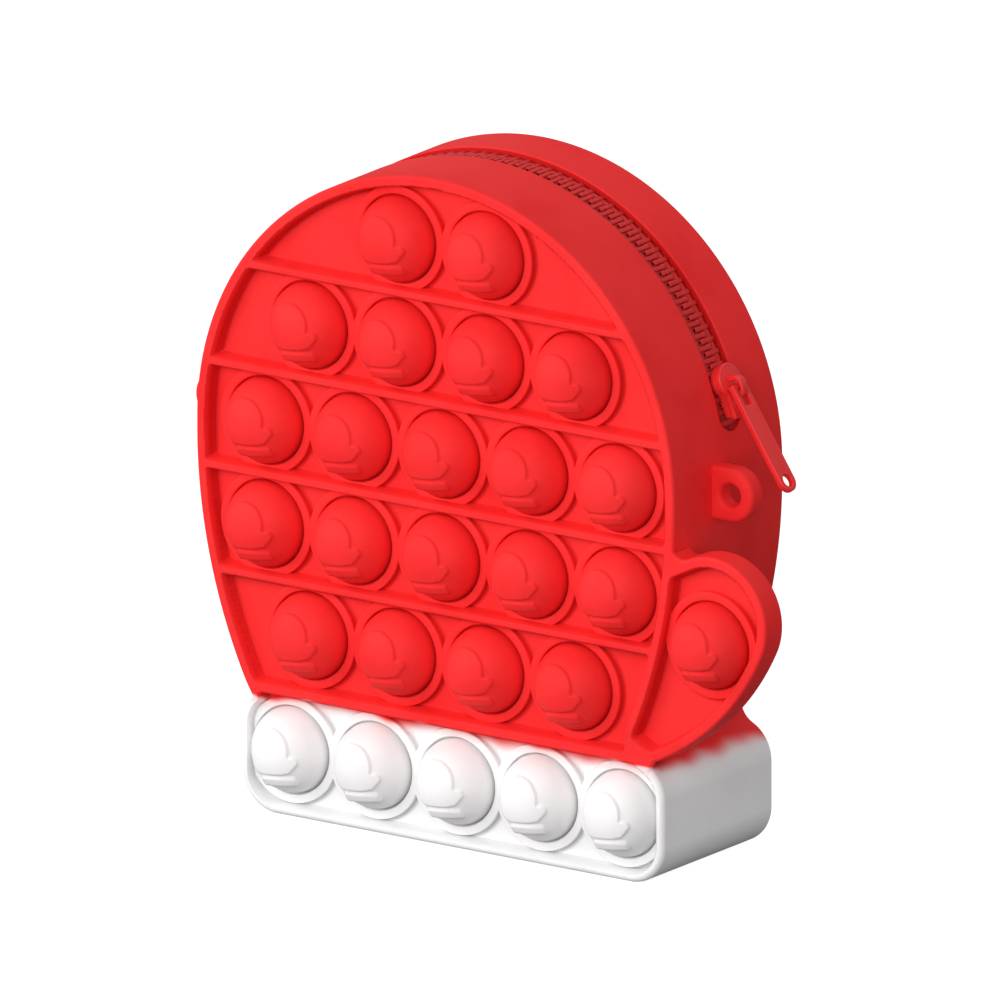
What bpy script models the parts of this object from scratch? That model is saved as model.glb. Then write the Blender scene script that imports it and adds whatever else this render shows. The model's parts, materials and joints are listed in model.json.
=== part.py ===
"""Mitten-shaped silicone pouch with push bubbles, a zip round its top and two strap lugs.

Metres, +Z up. The pouch stands on the flat bottom of its white cuff. X runs across the
front from left to right, Y runs from the front rim to the back, and Z is up. The origin is
on the cuff's bottom face, half way through the depth.
"""
import math

import bmesh
import bpy
from mathutils import Matrix, Vector

# Bubbles and the collars round them
PITCH = 0.025
COLLAR_OVERLAP = 0.0003
DOME_HEIGHT = 0.0097
SKIN = 0.0012
RING_WIDTH = 0.0022
COLLAR_RISE = 0.0014
RIB_WIDTH = 0.0026
ROW_COUNTS = (4, 5, 5, 4, 2)
BUBBLE_STEPS = 16
DOME_RINGS = 4
INNER_RINGS = 2

# Body of the pouch
DEPTH = 0.045
WALL = 0.002
PANEL = 0.0016
RECESS = 0.0034
RIM_WIDTH = 0.0029
SIDE_MARGIN = 0.002
BODY_CENTRE_X = -0.0007
BODY_CENTRE_DROP = 0.001
SIDE_STRAIGHT = 0.003

# Cuff at the bottom
CUFF_SQUEEZE = 0.0015
CUFF_CENTRE_X = 0.0042
CUFF_SIDE_BAND = 0.0021
CUFF_RIM = 0.0023
CUFF_GROOVE = 0.0005
CUFF_CORNER = 0.0095
CUFF_COUNT = 5
SEAM_RIM = 0.0031
SEAM_OVERLAP = 0.0002
SHOULDER_RISE = 0.0017
SHOULDER_STEP = 0.00215
WAIST_FILLET = 0.0055

# Thumb, a flange of the front shell only
THUMB_TUCK = 0.0036
THUMB_BUBBLE_DROP = 0.0337
THUMB_BAND = 0.0028
THUMB_REACH = 0.0013
THUMB_RISE = 0.0062
THUMB_DEPTH = 0.007
THUMB_SKIRT = 0.002
THUMB_VALLEY = 0.003
THUMB_TURN_ANGLE = -25
THUMB_HEEL_X = 0.0024
THUMB_HEEL_Z = 0.0017
THUMB_POCKET_RISE = 0.001

# Zip in the side wall
ZIP_SETBACK = 0.0258
SLOT_WIDTH = 0.0089
SLOT_END_ANGLE = 10.2
TAPE_THICKNESS = 0.0006
TAPE_LAP = 0.003
TAPE_END_ANGLE = 8.5
TOOTH_PITCH = 0.0031
TOOTH_WIDTH = 0.0012
TOOTH_HEIGHT = 0.001
TOOTH_REACH = 0.0015
CORD_WIDTH = 0.0019
ROW_EDGE = 0.0006
STOP_LENGTH = 0.0015
STOP_GAP = 0.0012

# Slider, its bail and the pull tab
SLIDER_ANGLE = 20.1
SLIDER_RISE = 0.0026
TAIL_LENGTH = 0.0091
TAIL_WIDTH = 0.0046
WING_THICKNESS = 0.0011
BAIL_THICKNESS = 0.0008
BAIL_POST = 0.0012
BAIL_BEVEL = 0.0006
BAIL_WIDTH = 0.0022
BAIL_SLACK = 0.0018
PIVOT_OFFSET = 0.0019
PULL_LENGTH = 0.0275
PULL_WIDTH = 0.0055
PULL_THICKNESS = 0.0015
PULL_BAR = 0.0012
PULL_HOLE = 0.003
PULL_DROOP_ANGLE = 56.5

# Strap lugs
LUG_SETBACK = 0.0156
LUG_THICKNESS = 0.0051
LUG_RADIUS = 0.0065
LUG_HOLE = 0.0054
LUG_REACH = 0.0049
LUG_DROP = 0.0005

# Clearances and mesh settings
CLEARANCE = 0.0003
OVERRUN = 0.001
WELD = 0.000001
MERGE = 0.00001
TOP_STEPS = 40
SIDE_STEPS = 8
CORNER_STEPS = 5
HOLE_STEPS = 16
FLAT_ANGLE = 0.002

# Sizes worked out from the ones above
RING_OUTER = PITCH / 2 + COLLAR_OVERLAP
HOLE_RADIUS = RING_OUTER - RING_WIDTH
BUBBLE_RADIUS = HOLE_RADIUS - CLEARANCE
CUFF_PITCH = PITCH - CUFF_SQUEEZE
Y_FRONT = -DEPTH / 2
Y_BACK = DEPTH / 2
Y_FLOOR = Y_FRONT + RECESS
Y_COLLAR = Y_FLOOR - COLLAR_RISE
Y_INSIDE = Y_FLOOR + PANEL
Y_ZIP = Y_FRONT + ZIP_SETBACK
CUFF_ROW_Z = CUFF_RIM + CUFF_GROOVE + RING_OUTER
SEAM_Z = CUFF_ROW_Z + RING_OUTER - SEAM_OVERLAP + CLEARANCE / 2
POCKET_BOTTOM = SEAM_Z + SEAM_RIM
FIRST_ROW_Z = POCKET_BOTTOM - SEAM_OVERLAP + RING_OUTER
MID_ROW_Z = FIRST_ROW_Z + 2 * PITCH
BODY_RADIUS = 2 * PITCH + RING_OUTER + RIM_WIDTH + SIDE_MARGIN
BODY_CENTRE = Vector((BODY_CENTRE_X, MID_ROW_Z - BODY_CENTRE_DROP))
SIDE_CENTRE_Z = BODY_CENTRE.y - SIDE_STRAIGHT
CUFF_HALF = (CUFF_COUNT - 1) / 2 * CUFF_PITCH + HOLE_RADIUS + CUFF_SIDE_BAND
SIDE_DROP = SIDE_CENTRE_Z - SEAM_Z
SIDE_DRAW = BODY_RADIUS - BODY_CENTRE_X + CUFF_CENTRE_X - CUFF_HALF + SHOULDER_STEP
SIDE_RADIUS = (SIDE_DRAW ** 2 + SIDE_DROP ** 2) / (2 * SIDE_DRAW)
SIDE_SHIFT = SIDE_RADIUS - BODY_RADIUS
CUFF_TOP = SEAM_Z + SHOULDER_RISE
THUMB_BUBBLE = Vector((BODY_CENTRE_X + BODY_RADIUS + RING_OUTER - THUMB_TUCK,
                       MID_ROW_Z - THUMB_BUBBLE_DROP))
THUMB_CENTRE = THUMB_BUBBLE + Vector((THUMB_REACH, THUMB_RISE))
THUMB_RADIUS = RING_OUTER + THUMB_BAND
TAPE_TOP = BODY_RADIUS - WALL - CLEARANCE
TAPE_BOTTOM = TAPE_TOP - TAPE_THICKNESS
TOOTH_BOTTOM = TAPE_TOP + CLEARANCE
TOOTH_TOP = TOOTH_BOTTOM + TOOTH_HEIGHT
SLIDER_BOTTOM = TOOTH_TOP + CLEARANCE
SLIDER_TOP = BODY_RADIUS + SLIDER_RISE
SLIDER_HALF = SLOT_WIDTH / 2 - CLEARANCE
BAR_SWEEP = math.hypot(PULL_THICKNESS, PULL_BAR) / 2
PIVOT_RADIUS = SLIDER_TOP + BAR_SWEEP + CLEARANCE
BAIL_INSIDE = PIVOT_RADIUS + BAR_SWEEP + CLEARANCE
BAIL_HALF = BAR_SWEEP + BAIL_SLACK
LUG_Z = BODY_CENTRE.y - LUG_DROP

POUCH = "silicone_pouch"


def start_scene():
    """Empty the scene and make one collection for the pouch and one for its cutters."""
    for old in list(bpy.data.objects):
        bpy.data.objects.remove(old)
    pouch = bpy.data.collections.new(POUCH)
    cutters = bpy.data.collections.new("cutters")
    bpy.context.scene.collection.children.link(pouch)
    bpy.context.scene.collection.children.link(cutters)
    return pouch, cutters


def make_material(name, colour, roughness):
    """A plain plastic-like surface with one colour."""
    material = bpy.data.materials.new(name)
    material.use_nodes = True
    shader = material.node_tree.nodes["Principled BSDF"]
    shader.inputs["Base Color"].default_value = (*colour, 1)
    shader.inputs["Roughness"].default_value = roughness
    shader.inputs["Metallic"].default_value = 0
    return material


pouch_parts, cutter_parts = start_scene()
red_silicone = make_material("red_silicone", (0.9, 0.03, 0.035), 0.5)
white_silicone = make_material("white_silicone", (0.85, 0.85, 0.85), 0.5)
zip_cloth = make_material("zip_cloth", (0.5, 0.02, 0.025), 0.85)
zip_plastic = make_material("zip_plastic", (0.6, 0.02, 0.025), 0.45)
slider_metal = make_material("slider_metal", (0.65, 0.02, 0.025), 0.35)


# Points and outlines in the plane of the front
def arc(centre, radius, start, end, steps):
    """Points of a round stretch between two angles in degrees, both ends included."""
    points = []
    for index in range(steps + 1):
        angle = math.radians(start + (end - start) * index / steps)
        points.append(Vector((centre.x + radius * math.cos(angle),
                              centre.y + radius * math.sin(angle))))
    return points


def heading(start, end):
    """Angle in degrees of the way from one point to another, between -180 and 180."""
    way = end - start
    return math.degrees(math.atan2(way.y, way.x))


def circles_meet(first, first_radius, second, second_radius, side):
    """Where two circles cross; side is 1 or -1 for the left or right of the way to second."""
    way = second - first
    distance = way.length
    along = (distance ** 2 + first_radius ** 2 - second_radius ** 2) / (2 * distance)
    across = math.sqrt(first_radius ** 2 - along ** 2)
    way = way.normalized()
    return first + way * along + Vector((-way.y, way.x)) * across * side


def clip(points, height, above):
    """Keep the part of an outline above or below a level."""
    sign = 1 if above else -1
    kept = []
    for index, point in enumerate(points):
        before = points[index - 1]
        inside = (point.y - height) * sign >= 0
        was_inside = (before.y - height) * sign >= 0
        if inside != was_inside:
            crossing = before.lerp(point, (height - before.y) / (point.y - before.y))
            kept.append(Vector((crossing.x, height)))
        if inside:
            kept.append(point)
    return kept


RIGHT_SIDE = Vector((BODY_CENTRE_X - SIDE_SHIFT, SIDE_CENTRE_Z))
LEFT_SIDE = Vector((BODY_CENTRE_X + SIDE_SHIFT, SIDE_CENTRE_Z))
RIGHT_SHOULDER = Vector((CUFF_CENTRE_X + CUFF_HALF - CUFF_CORNER, CUFF_TOP - CUFF_CORNER))
LEFT_SHOULDER = Vector((CUFF_CENTRE_X - CUFF_HALF + CUFF_CORNER, CUFF_TOP - CUFF_CORNER))
RIGHT_FOOT = Vector((RIGHT_SHOULDER.x, CUFF_CORNER))
LEFT_FOOT = Vector((LEFT_SHOULDER.x, CUFF_CORNER))
WAIST = circles_meet(RIGHT_SIDE, SIDE_RADIUS + WAIST_FILLET,
                     RIGHT_SHOULDER, CUFF_CORNER + WAIST_FILLET, 1)
VALLEY = circles_meet(BODY_CENTRE, BODY_RADIUS + THUMB_VALLEY,
                      THUMB_CENTRE, THUMB_RADIUS + THUMB_VALLEY, 1)


def bag_outline(inset):
    """The whole front outline without the thumb, drawn in by inset, anticlockwise."""
    corner = CUFF_CORNER - inset
    side = SIDE_RADIUS - inset
    left_meet = circles_meet(LEFT_SIDE, side, LEFT_SHOULDER, corner, -1)
    shoulder_end = heading(RIGHT_SHOULDER, WAIST)
    left_end = heading(LEFT_SIDE, left_meet) % 360
    left_start = heading(LEFT_SHOULDER, left_meet)
    points = arc(RIGHT_FOOT, corner, -90, 0, CORNER_STEPS)
    points += arc(RIGHT_SHOULDER, corner, 0, shoulder_end, CORNER_STEPS)
    points += arc(WAIST, WAIST_FILLET + inset, shoulder_end + 180,
                  heading(WAIST, RIGHT_SIDE), CORNER_STEPS)[1:]
    points += arc(RIGHT_SIDE, side, heading(RIGHT_SIDE, WAIST), 0, SIDE_STEPS)[1:]
    points += arc(BODY_CENTRE, BODY_RADIUS - inset, 0, 180, TOP_STEPS)
    points += arc(LEFT_SIDE, side, 180, left_end, SIDE_STEPS)
    points += arc(LEFT_SHOULDER, corner, left_start, 180, CORNER_STEPS)[1:]
    points += arc(LEFT_FOOT, corner, 180, 270, CORNER_STEPS)
    return points


def thumb_edge(inset):
    """The free edge of the thumb from its valley round to its heel, clockwise."""
    heel = Vector((CUFF_CENTRE_X + CUFF_HALF - THUMB_HEEL_X, SEAM_Z + THUMB_HEEL_Z))
    turn = math.radians(THUMB_TURN_ANGLE)
    outward = Vector((math.cos(turn), math.sin(turn)))
    way = heel - THUMB_CENTRE
    spread = (way.length_squared - THUMB_RADIUS ** 2) / (2 * (THUMB_RADIUS - way.dot(outward)))
    sweep_centre = THUMB_CENTRE - outward * spread
    sweep_radius = THUMB_RADIUS + spread
    points = arc(VALLEY, THUMB_VALLEY + inset, heading(VALLEY, BODY_CENTRE) % 360,
                 heading(VALLEY, THUMB_CENTRE) % 360, CORNER_STEPS)
    points += arc(THUMB_CENTRE, THUMB_RADIUS - inset, heading(THUMB_CENTRE, VALLEY),
                  THUMB_TURN_ANGLE, 2 * SIDE_STEPS)[1:]
    points += arc(sweep_centre, sweep_radius - inset, THUMB_TURN_ANGLE,
                  heading(sweep_centre, heel), SIDE_STEPS)[1:]
    return points


def front_outline():
    """The outline of the front, thumb included."""
    whole = bag_outline(0)
    heel = CORNER_STEPS + 2
    start = circles_meet(RIGHT_SIDE, SIDE_RADIUS, VALLEY, THUMB_VALLEY, -1)
    rest = heel
    while whole[rest].y < start.y:
        rest += 1
    edge = [point for point in thumb_edge(0)
            if (point - RIGHT_SIDE).length > SIDE_RADIUS + MERGE]
    return whole[:heel + 1] + edge[::-1] + [start] + whole[rest:]


def thumb_pocket(inset):
    """The hollow in the thumb: the free edge drawn in, closed along the body's side."""
    start = circles_meet(RIGHT_SIDE, SIDE_RADIUS, VALLEY, THUMB_VALLEY + inset, -1)
    edge = [point for point in thumb_edge(inset)
            if (point - RIGHT_SIDE).length > SIDE_RADIUS + MERGE]
    side = arc(RIGHT_SIDE, SIDE_RADIUS, heading(RIGHT_SIDE, edge[-1]),
               heading(RIGHT_SIDE, start), SIDE_STEPS)
    return clip(edge + side, POCKET_BOTTOM + THUMB_POCKET_RISE, True)


def sector(inner, outer, start, end, steps):
    """A piece of a flat ring about the point (0, 0)."""
    middle = Vector((0, 0))
    return arc(middle, outer, start, end, steps) + arc(middle, inner, end, start, steps)


def lug_outline():
    """A strap lug about its hole's centre, with straight sides running back to the wall."""
    middle = Vector((0, 0))
    back = -LUG_REACH - WALL
    return arc(middle, LUG_RADIUS, -90, 90, HOLE_STEPS) + [Vector((back, LUG_RADIUS)),
                                                           Vector((back, -LUG_RADIUS))]


# Solids
def add_mesh_object(name, mesh, collection, parent=None):
    """Put a mesh in the scene under a name, below a parent's frame if there is one."""
    solid = bpy.data.objects.new(name, mesh)
    solid.parent = parent
    collection.objects.link(solid)
    if collection is not pouch_parts:
        solid.hide_render = True
        solid.display_type = 'WIRE'
    return solid


def slab(name, loops, low, high, collection, standing=True, parent=None):
    """A flat piece from outlines, the first its edge and the others its holes.

    A standing slab lies in the XZ plane and runs from low to high along Y; otherwise it
    lies in the XY plane and runs along Z.
    """
    curve = bpy.data.curves.new(name, 'CURVE')
    curve.dimensions = '2D'
    curve.fill_mode = 'BOTH'
    curve.extrude = (high - low) / 2
    for loop in loops:
        spline = curve.splines.new('POLY')
        spline.points.add(len(loop) - 1)
        for point, place in zip(spline.points, loop):
            point.co = (place.x, place.y, 0, 1)
        spline.use_cyclic_u = True
    guide = bpy.data.objects.new(name + "_guide", curve)
    collection.objects.link(guide)
    middle = (low + high) / 2
    if standing:
        guide.rotation_euler = (math.pi / 2, 0, 0)
        guide.location = (0, middle, 0)
    else:
        guide.location = (0, 0, middle)
    bpy.context.view_layer.update()
    graph = bpy.context.evaluated_depsgraph_get()
    mesh = bpy.data.meshes.new_from_object(guide.evaluated_get(graph))
    shape = bmesh.new()
    shape.from_mesh(mesh)
    bmesh.ops.remove_doubles(shape, verts=shape.verts, dist=WELD)
    bmesh.ops.transform(shape, matrix=guide.matrix_world, verts=shape.verts)
    bmesh.ops.recalc_face_normals(shape, faces=shape.faces)
    shape.to_mesh(mesh)
    shape.free()
    bpy.data.objects.remove(guide)
    bpy.data.curves.remove(curve)
    return add_mesh_object(name, mesh, collection, parent)


def round_bars(name, centres, radius, low, high):
    """Round bars along Y about points of the front plane, in one cutter."""
    shape = bmesh.new()
    turn = Matrix.Rotation(math.pi / 2, 4, 'X')
    for centre in centres:
        place = Matrix.Translation((centre.x, (low + high) / 2, centre.y))
        bmesh.ops.create_cone(shape, cap_ends=True, segments=BUBBLE_STEPS, radius1=radius,
                              radius2=radius, depth=high - low, matrix=place @ turn)
    mesh = bpy.data.meshes.new(name)
    shape.to_mesh(mesh)
    shape.free()
    return add_mesh_object(name, mesh, cutter_parts)


def shape_with(target, operands, operation='DIFFERENCE'):
    """Cut, join or trim a solid with others in one go, and keep the result as its mesh."""
    group = bpy.data.collections.new(target.name + "_operands")
    cutter_parts.children.link(group)
    for operand in operands:
        group.objects.link(operand)
    modifier = target.modifiers.new(operation.lower(), 'BOOLEAN')
    modifier.operation = operation
    modifier.solver = 'EXACT'
    modifier.operand_type = 'COLLECTION'
    modifier.collection = group
    bpy.context.view_layer.update()
    graph = bpy.context.evaluated_depsgraph_get()
    mesh = bpy.data.meshes.new_from_object(target.evaluated_get(graph))
    target.modifiers.clear()
    target.data = mesh
    bpy.data.collections.remove(group)
    merge_flats(mesh)


def merge_flats(mesh):
    """Dissolve the extra edges and points that lie in flat faces."""
    shape = bmesh.new()
    shape.from_mesh(mesh)
    bmesh.ops.dissolve_limit(shape, angle_limit=FLAT_ANGLE, verts=shape.verts,
                             edges=shape.edges)
    shape.to_mesh(mesh)
    shape.free()


def finish(solid, material):
    """Merge the flat faces of a finished piece and give it its material."""
    merge_flats(solid.data)
    solid.data.materials.clear()
    solid.data.materials.append(material)
    return solid


# Places of the bubbles
def bubble_places():
    """Name and centre of each red bubble, counted from the bottom row and from the left."""
    places = []
    for row, count in enumerate(ROW_COUNTS):
        for index in range(count):
            x = (index - (count - 1) / 2) * PITCH
            place = Vector((x, FIRST_ROW_Z + row * PITCH))
            places.append((f"bubble_row{row + 1}_{index + 1}", place))
    return places


def cuff_places():
    """Name and centre of each white bubble in the cuff, counted from the left."""
    places = []
    for index in range(CUFF_COUNT):
        x = CUFF_CENTRE_X + (index - (CUFF_COUNT - 1) / 2) * CUFF_PITCH
        places.append((f"bubble_cuff_{index + 1}", Vector((x, CUFF_ROW_Z))))
    return places


BODY_BUBBLES = bubble_places()
CUFF_BUBBLES = cuff_places()
THUMB_BUBBLES = [("bubble_thumb", THUMB_BUBBLE)]


# Front pockets, left between rim and ribs, with the collars on their floors
def ribs():
    """The straight ribs between the rows, each from wall to wall."""
    bars = []
    for row in range(len(ROW_COUNTS) - 1):
        low = FIRST_ROW_Z + (row + 1 / 2) * PITCH - RIB_WIDTH / 2
        high = low + RIB_WIDTH
        left = BODY_CENTRE_X - BODY_RADIUS
        right = BODY_CENTRE_X + BODY_RADIUS
        loop = [Vector((left, low)), Vector((right, low)), Vector((right, high)),
                Vector((left, high))]
        bars.append(slab(f"rib_{row + 1}", [loop], Y_FRONT - 3 * OVERRUN,
                         Y_FLOOR + 2 * OVERRUN, cutter_parts))
    return bars


def pocket(name, outline, places, bars):
    """A front pocket with low collars on its floor and ribs that reach the front."""
    cutter = slab(name, [outline], Y_FRONT - OVERRUN, Y_FLOOR, cutter_parts)
    collars = [round_bars(bubble + "_collar", [place], RING_OUTER, Y_COLLAR,
                          Y_FLOOR + OVERRUN) for bubble, place in places]
    shape_with(cutter, collars + bars)
    return cutter


def bubble_holes(name, places):
    """Round cutters for the holes that the bubbles fill."""
    return round_bars(name, [place for bubble, place in places], HOLE_RADIUS,
                      Y_FRONT - OVERRUN, Y_INSIDE + OVERRUN)


# The zip's slot and the main hollow, shared by the shells
def slot_cutters():
    """The long slot round the top of the side wall, with round ends."""
    inner = BODY_RADIUS - 2 * WALL
    outer = BODY_RADIUS + WALL
    half = SLOT_WIDTH / 2
    end = SLOT_END_ANGLE + math.degrees(math.asin(half / BODY_RADIUS))
    loop = [point + BODY_CENTRE for point in sector(inner, outer, end, 180 - end, TOP_STEPS)]
    cutters = [slab("slot_run", [loop], Y_ZIP - half, Y_ZIP + half, cutter_parts)]
    for name, angle in (("slot_right_end", end), ("slot_left_end", 180 - end)):
        shape = bmesh.new()
        place = (Matrix.Translation((BODY_CENTRE.x, Y_ZIP, BODY_CENTRE.y))
                 @ Matrix.Rotation(math.radians(90 - angle), 4, 'Y')
                 @ Matrix.Translation((0, 0, (inner + outer) / 2))
                 @ Matrix.Rotation(math.pi / BUBBLE_STEPS, 4, 'Z'))
        bmesh.ops.create_cone(shape, cap_ends=True, segments=BUBBLE_STEPS, radius1=half,
                              radius2=half, depth=outer - inner, matrix=place)
        mesh = bpy.data.meshes.new(name)
        shape.to_mesh(mesh)
        shape.free()
        cutters.append(add_mesh_object(name, mesh, cutter_parts))
    return cutters


CAVITY = slab("cavity", [bag_outline(WALL)], Y_INSIDE, Y_BACK - WALL, cutter_parts)
SLOT = slot_cutters()


def make_front_shell():
    """Front panel with its rim, ribs and collars, and the thumb with its skirt."""
    seam = SEAM_Z + CLEARANCE / 2
    thumb_back = Y_FRONT + THUMB_DEPTH
    shell = slab("front_shell", [clip(front_outline(), seam, True)],
                 Y_FRONT, thumb_back, pouch_parts)
    main_edge = clip(bag_outline(RIM_WIDTH), POCKET_BOTTOM, True)
    main = pocket("main_pocket", main_edge, BODY_BUBBLES, ribs())
    thumb = pocket("thumb_pocket", thumb_pocket(RIM_WIDTH), THUMB_BUBBLES, [])
    hollow = slab("thumb_hollow", [thumb_pocket(THUMB_SKIRT)], Y_INSIDE,
                  thumb_back + OVERRUN, cutter_parts)
    seat = slab("wall_seat", [bag_outline(-CLEARANCE)], Y_INSIDE, thumb_back + OVERRUN,
                cutter_parts)
    holes = bubble_holes("red_holes", BODY_BUBBLES + THUMB_BUBBLES)
    shape_with(shell, [main, thumb, hollow, seat, holes])
    return finish(shell, red_silicone)


def make_front_wall():
    """The front half of the side wall, glued behind the panel."""
    seam = SEAM_Z + CLEARANCE / 2
    wall = slab("front_wall", [clip(bag_outline(0), seam, True)],
                Y_INSIDE + CLEARANCE, Y_ZIP - CLEARANCE / 2, pouch_parts)
    shape_with(wall, [CAVITY] + SLOT)
    return finish(wall, red_silicone)


def make_back_shell():
    """Plain back panel and the back half of the wall."""
    seam = SEAM_Z + CLEARANCE / 2
    shell = slab("back_shell", [clip(bag_outline(0), seam, True)],
                 Y_ZIP + CLEARANCE / 2, Y_BACK, pouch_parts)
    shape_with(shell, [CAVITY] + SLOT)
    return finish(shell, red_silicone)


def make_cuff_shell():
    """White box at the bottom, open at its top, with its own row of collars."""
    seam = SEAM_Z - CLEARANCE / 2
    shell = slab("cuff_shell", [clip(bag_outline(0), seam, False)], Y_FRONT, Y_BACK, pouch_parts)
    edge = clip(bag_outline(CUFF_RIM), SEAM_Z + CLEARANCE, False)
    front = pocket("cuff_pocket", edge, CUFF_BUBBLES, [])
    holes = bubble_holes("cuff_holes", CUFF_BUBBLES)
    shape_with(shell, [front, holes, CAVITY])
    return finish(shell, white_silicone)


# Bubbles, each a turned cap that fills its hole
def bubble_profile():
    """Half section of a bubble, from the outer top round the edge to the inner top."""
    shape = bmesh.new()
    points = []
    for index in range(DOME_RINGS + 1):
        angle = math.pi / 2 * index / DOME_RINGS
        points.append((BUBBLE_RADIUS * math.sin(angle), DOME_HEIGHT * math.cos(angle)))
    points.append((BUBBLE_RADIUS, -PANEL))
    points.append((BUBBLE_RADIUS - SKIN, -PANEL))
    for index in range(INNER_RINGS + 1):
        angle = math.pi / 2 * (1 - index / INNER_RINGS)
        points.append(((BUBBLE_RADIUS - SKIN) * math.sin(angle),
                       (DOME_HEIGHT - SKIN) * math.cos(angle)))
    verts = [shape.verts.new((x, 0, z)) for x, z in points]
    for first, second in zip(verts, verts[1:]):
        shape.edges.new((first, second))
    mesh = bpy.data.meshes.new("bubble_profile")
    shape.to_mesh(mesh)
    shape.free()
    return mesh


def make_bubbles(places, material):
    """One bubble for each hole, its origin on its own push axis."""
    profile = bubble_profile()
    profile.materials.append(material)
    for name, place in places:
        bubble = add_mesh_object(name, profile, pouch_parts)
        bubble.location = (place.x, Y_FLOOR, place.y)
        bubble.rotation_euler = (math.pi / 2, 0, 0)
        turn = bubble.modifiers.new("turn", 'SCREW')
        turn.axis = 'Z'
        turn.steps = BUBBLE_STEPS
        turn.render_steps = BUBBLE_STEPS
        turn.use_merge_vertices = True
        turn.merge_threshold = MERGE
        turn.use_smooth_shade = True


# Zip
def ring_slab(name, inner, outer, angles, low, high, collection):
    """A curved strip that follows the wall between two angles."""
    loop = [point + BODY_CENTRE for point in sector(inner, outer, *angles, TOP_STEPS)]
    return slab(name, [loop], low, high, collection)


def tooth_angles():
    """Angles of the front row's teeth, evenly spaced between the stops."""
    start = SLOT_END_ANGLE + math.degrees((STOP_LENGTH + 2 * STOP_GAP) / BODY_RADIUS)
    pitch = math.degrees(TOOTH_PITCH / TOOTH_TOP)
    count = int((180 - 2 * start) / pitch)
    first = 90 - pitch * count / 2
    return [first + pitch * index for index in range(count + 1)], pitch


def make_tooth_row(name, angles, span, edge, side):
    """One row of teeth on its cord, made flat as a comb and then bent round the wall.

    In the comb X is the angle in degrees, Y runs from the row's outer edge towards the
    other row, and Z is the distance from the arc's centre.
    """
    half = math.degrees(TOOTH_WIDTH / TOOTH_TOP) / 2
    columns = [span[0]]
    for angle in angles:
        columns += [angle - half, angle + half]
    columns.append(span[1])
    shape = bmesh.new()
    cells = len(columns) - 1
    bmesh.ops.create_grid(shape, x_segments=cells, y_segments=1, size=1)
    for vert in shape.verts:
        column = round((vert.co.x + 1) / 2 * cells)
        vert.co = (columns[column], CORD_WIDTH if vert.co.y > 0 else 0, TOOTH_BOTTOM)
    roots = []
    for rim in shape.edges:
        middle = (rim.verts[0].co + rim.verts[1].co) / 2
        on_tooth = any(abs(middle.x - angle) < half / 2 for angle in angles)
        if on_tooth and middle.y == rim.verts[0].co.y > 0:
            roots.append(rim)
    grown = bmesh.ops.extrude_edge_only(shape, edges=roots)["geom"]
    for part in grown:
        if isinstance(part, bmesh.types.BMVert):
            part.co.y = edge + TOOTH_REACH
    raised = bmesh.ops.extrude_face_region(shape, geom=list(shape.faces))["geom"]
    for part in raised:
        if isinstance(part, bmesh.types.BMVert):
            part.co.z = TOOTH_TOP
    bmesh.ops.recalc_face_normals(shape, faces=shape.faces)
    if side < 0:
        bmesh.ops.reverse_faces(shape, faces=shape.faces)
    for vert in shape.verts:
        turn = math.radians(vert.co.x)
        vert.co = (BODY_CENTRE.x + vert.co.z * math.cos(turn),
                   Y_ZIP + side * (edge - vert.co.y),
                   BODY_CENTRE.y + vert.co.z * math.sin(turn))
    mesh = bpy.data.meshes.new(name)
    shape.to_mesh(mesh)
    shape.free()
    row = add_mesh_object(name, mesh, pouch_parts)
    row.data.materials.append(zip_plastic)


def make_zip():
    """Two tapes, two rows of teeth that mesh, and a stop at each end."""
    half = SLOT_WIDTH / 2
    tape_span = (TAPE_END_ANGLE, 180 - TAPE_END_ANGLE)
    tape_low = Y_ZIP - half - TAPE_LAP
    tape_high = Y_ZIP + half + TAPE_LAP
    gap = CLEARANCE / 2
    finish(ring_slab("zip_tape_front", TAPE_BOTTOM, TAPE_TOP, tape_span,
                     tape_low, Y_ZIP - gap, pouch_parts), zip_cloth)
    finish(ring_slab("zip_tape_back", TAPE_BOTTOM, TAPE_TOP, tape_span,
                     Y_ZIP + gap, tape_high, pouch_parts), zip_cloth)
    angles, pitch = tooth_angles()
    margin = pitch / 2
    span = (angles[0] - margin, angles[-1] + margin)
    edge = half - ROW_EDGE
    make_tooth_row("zip_teeth_front", angles, span, edge, -1)
    make_tooth_row("zip_teeth_back", [angle + margin for angle in angles[:-1]], span, edge, 1)
    stop = math.degrees(STOP_LENGTH / BODY_RADIUS)
    start = span[0] - math.degrees(CLEARANCE / TOOTH_BOTTOM) - stop
    stop_half = half - ROW_EDGE - CORD_WIDTH / 2
    for name, stop_span in (("zip_top_stop", (start, start + stop)),
                            ("zip_bottom_stop", (180 - start - stop, 180 - start))):
        loop = [point + BODY_CENTRE
                for point in sector(TOOTH_BOTTOM, TOOTH_TOP, *stop_span, 1)]
        stop_bar = slab(name, [loop], Y_ZIP - stop_half, Y_ZIP + stop_half, pouch_parts)
        finish(stop_bar, zip_plastic)


# Slider and pull, built about the arc's centre with the wall's outward way as Z
def pivot(name, parent=None):
    """An empty that carries moving pieces."""
    empty = bpy.data.objects.new(name, None)
    empty.parent = parent
    pouch_parts.objects.link(empty)
    return empty


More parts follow.
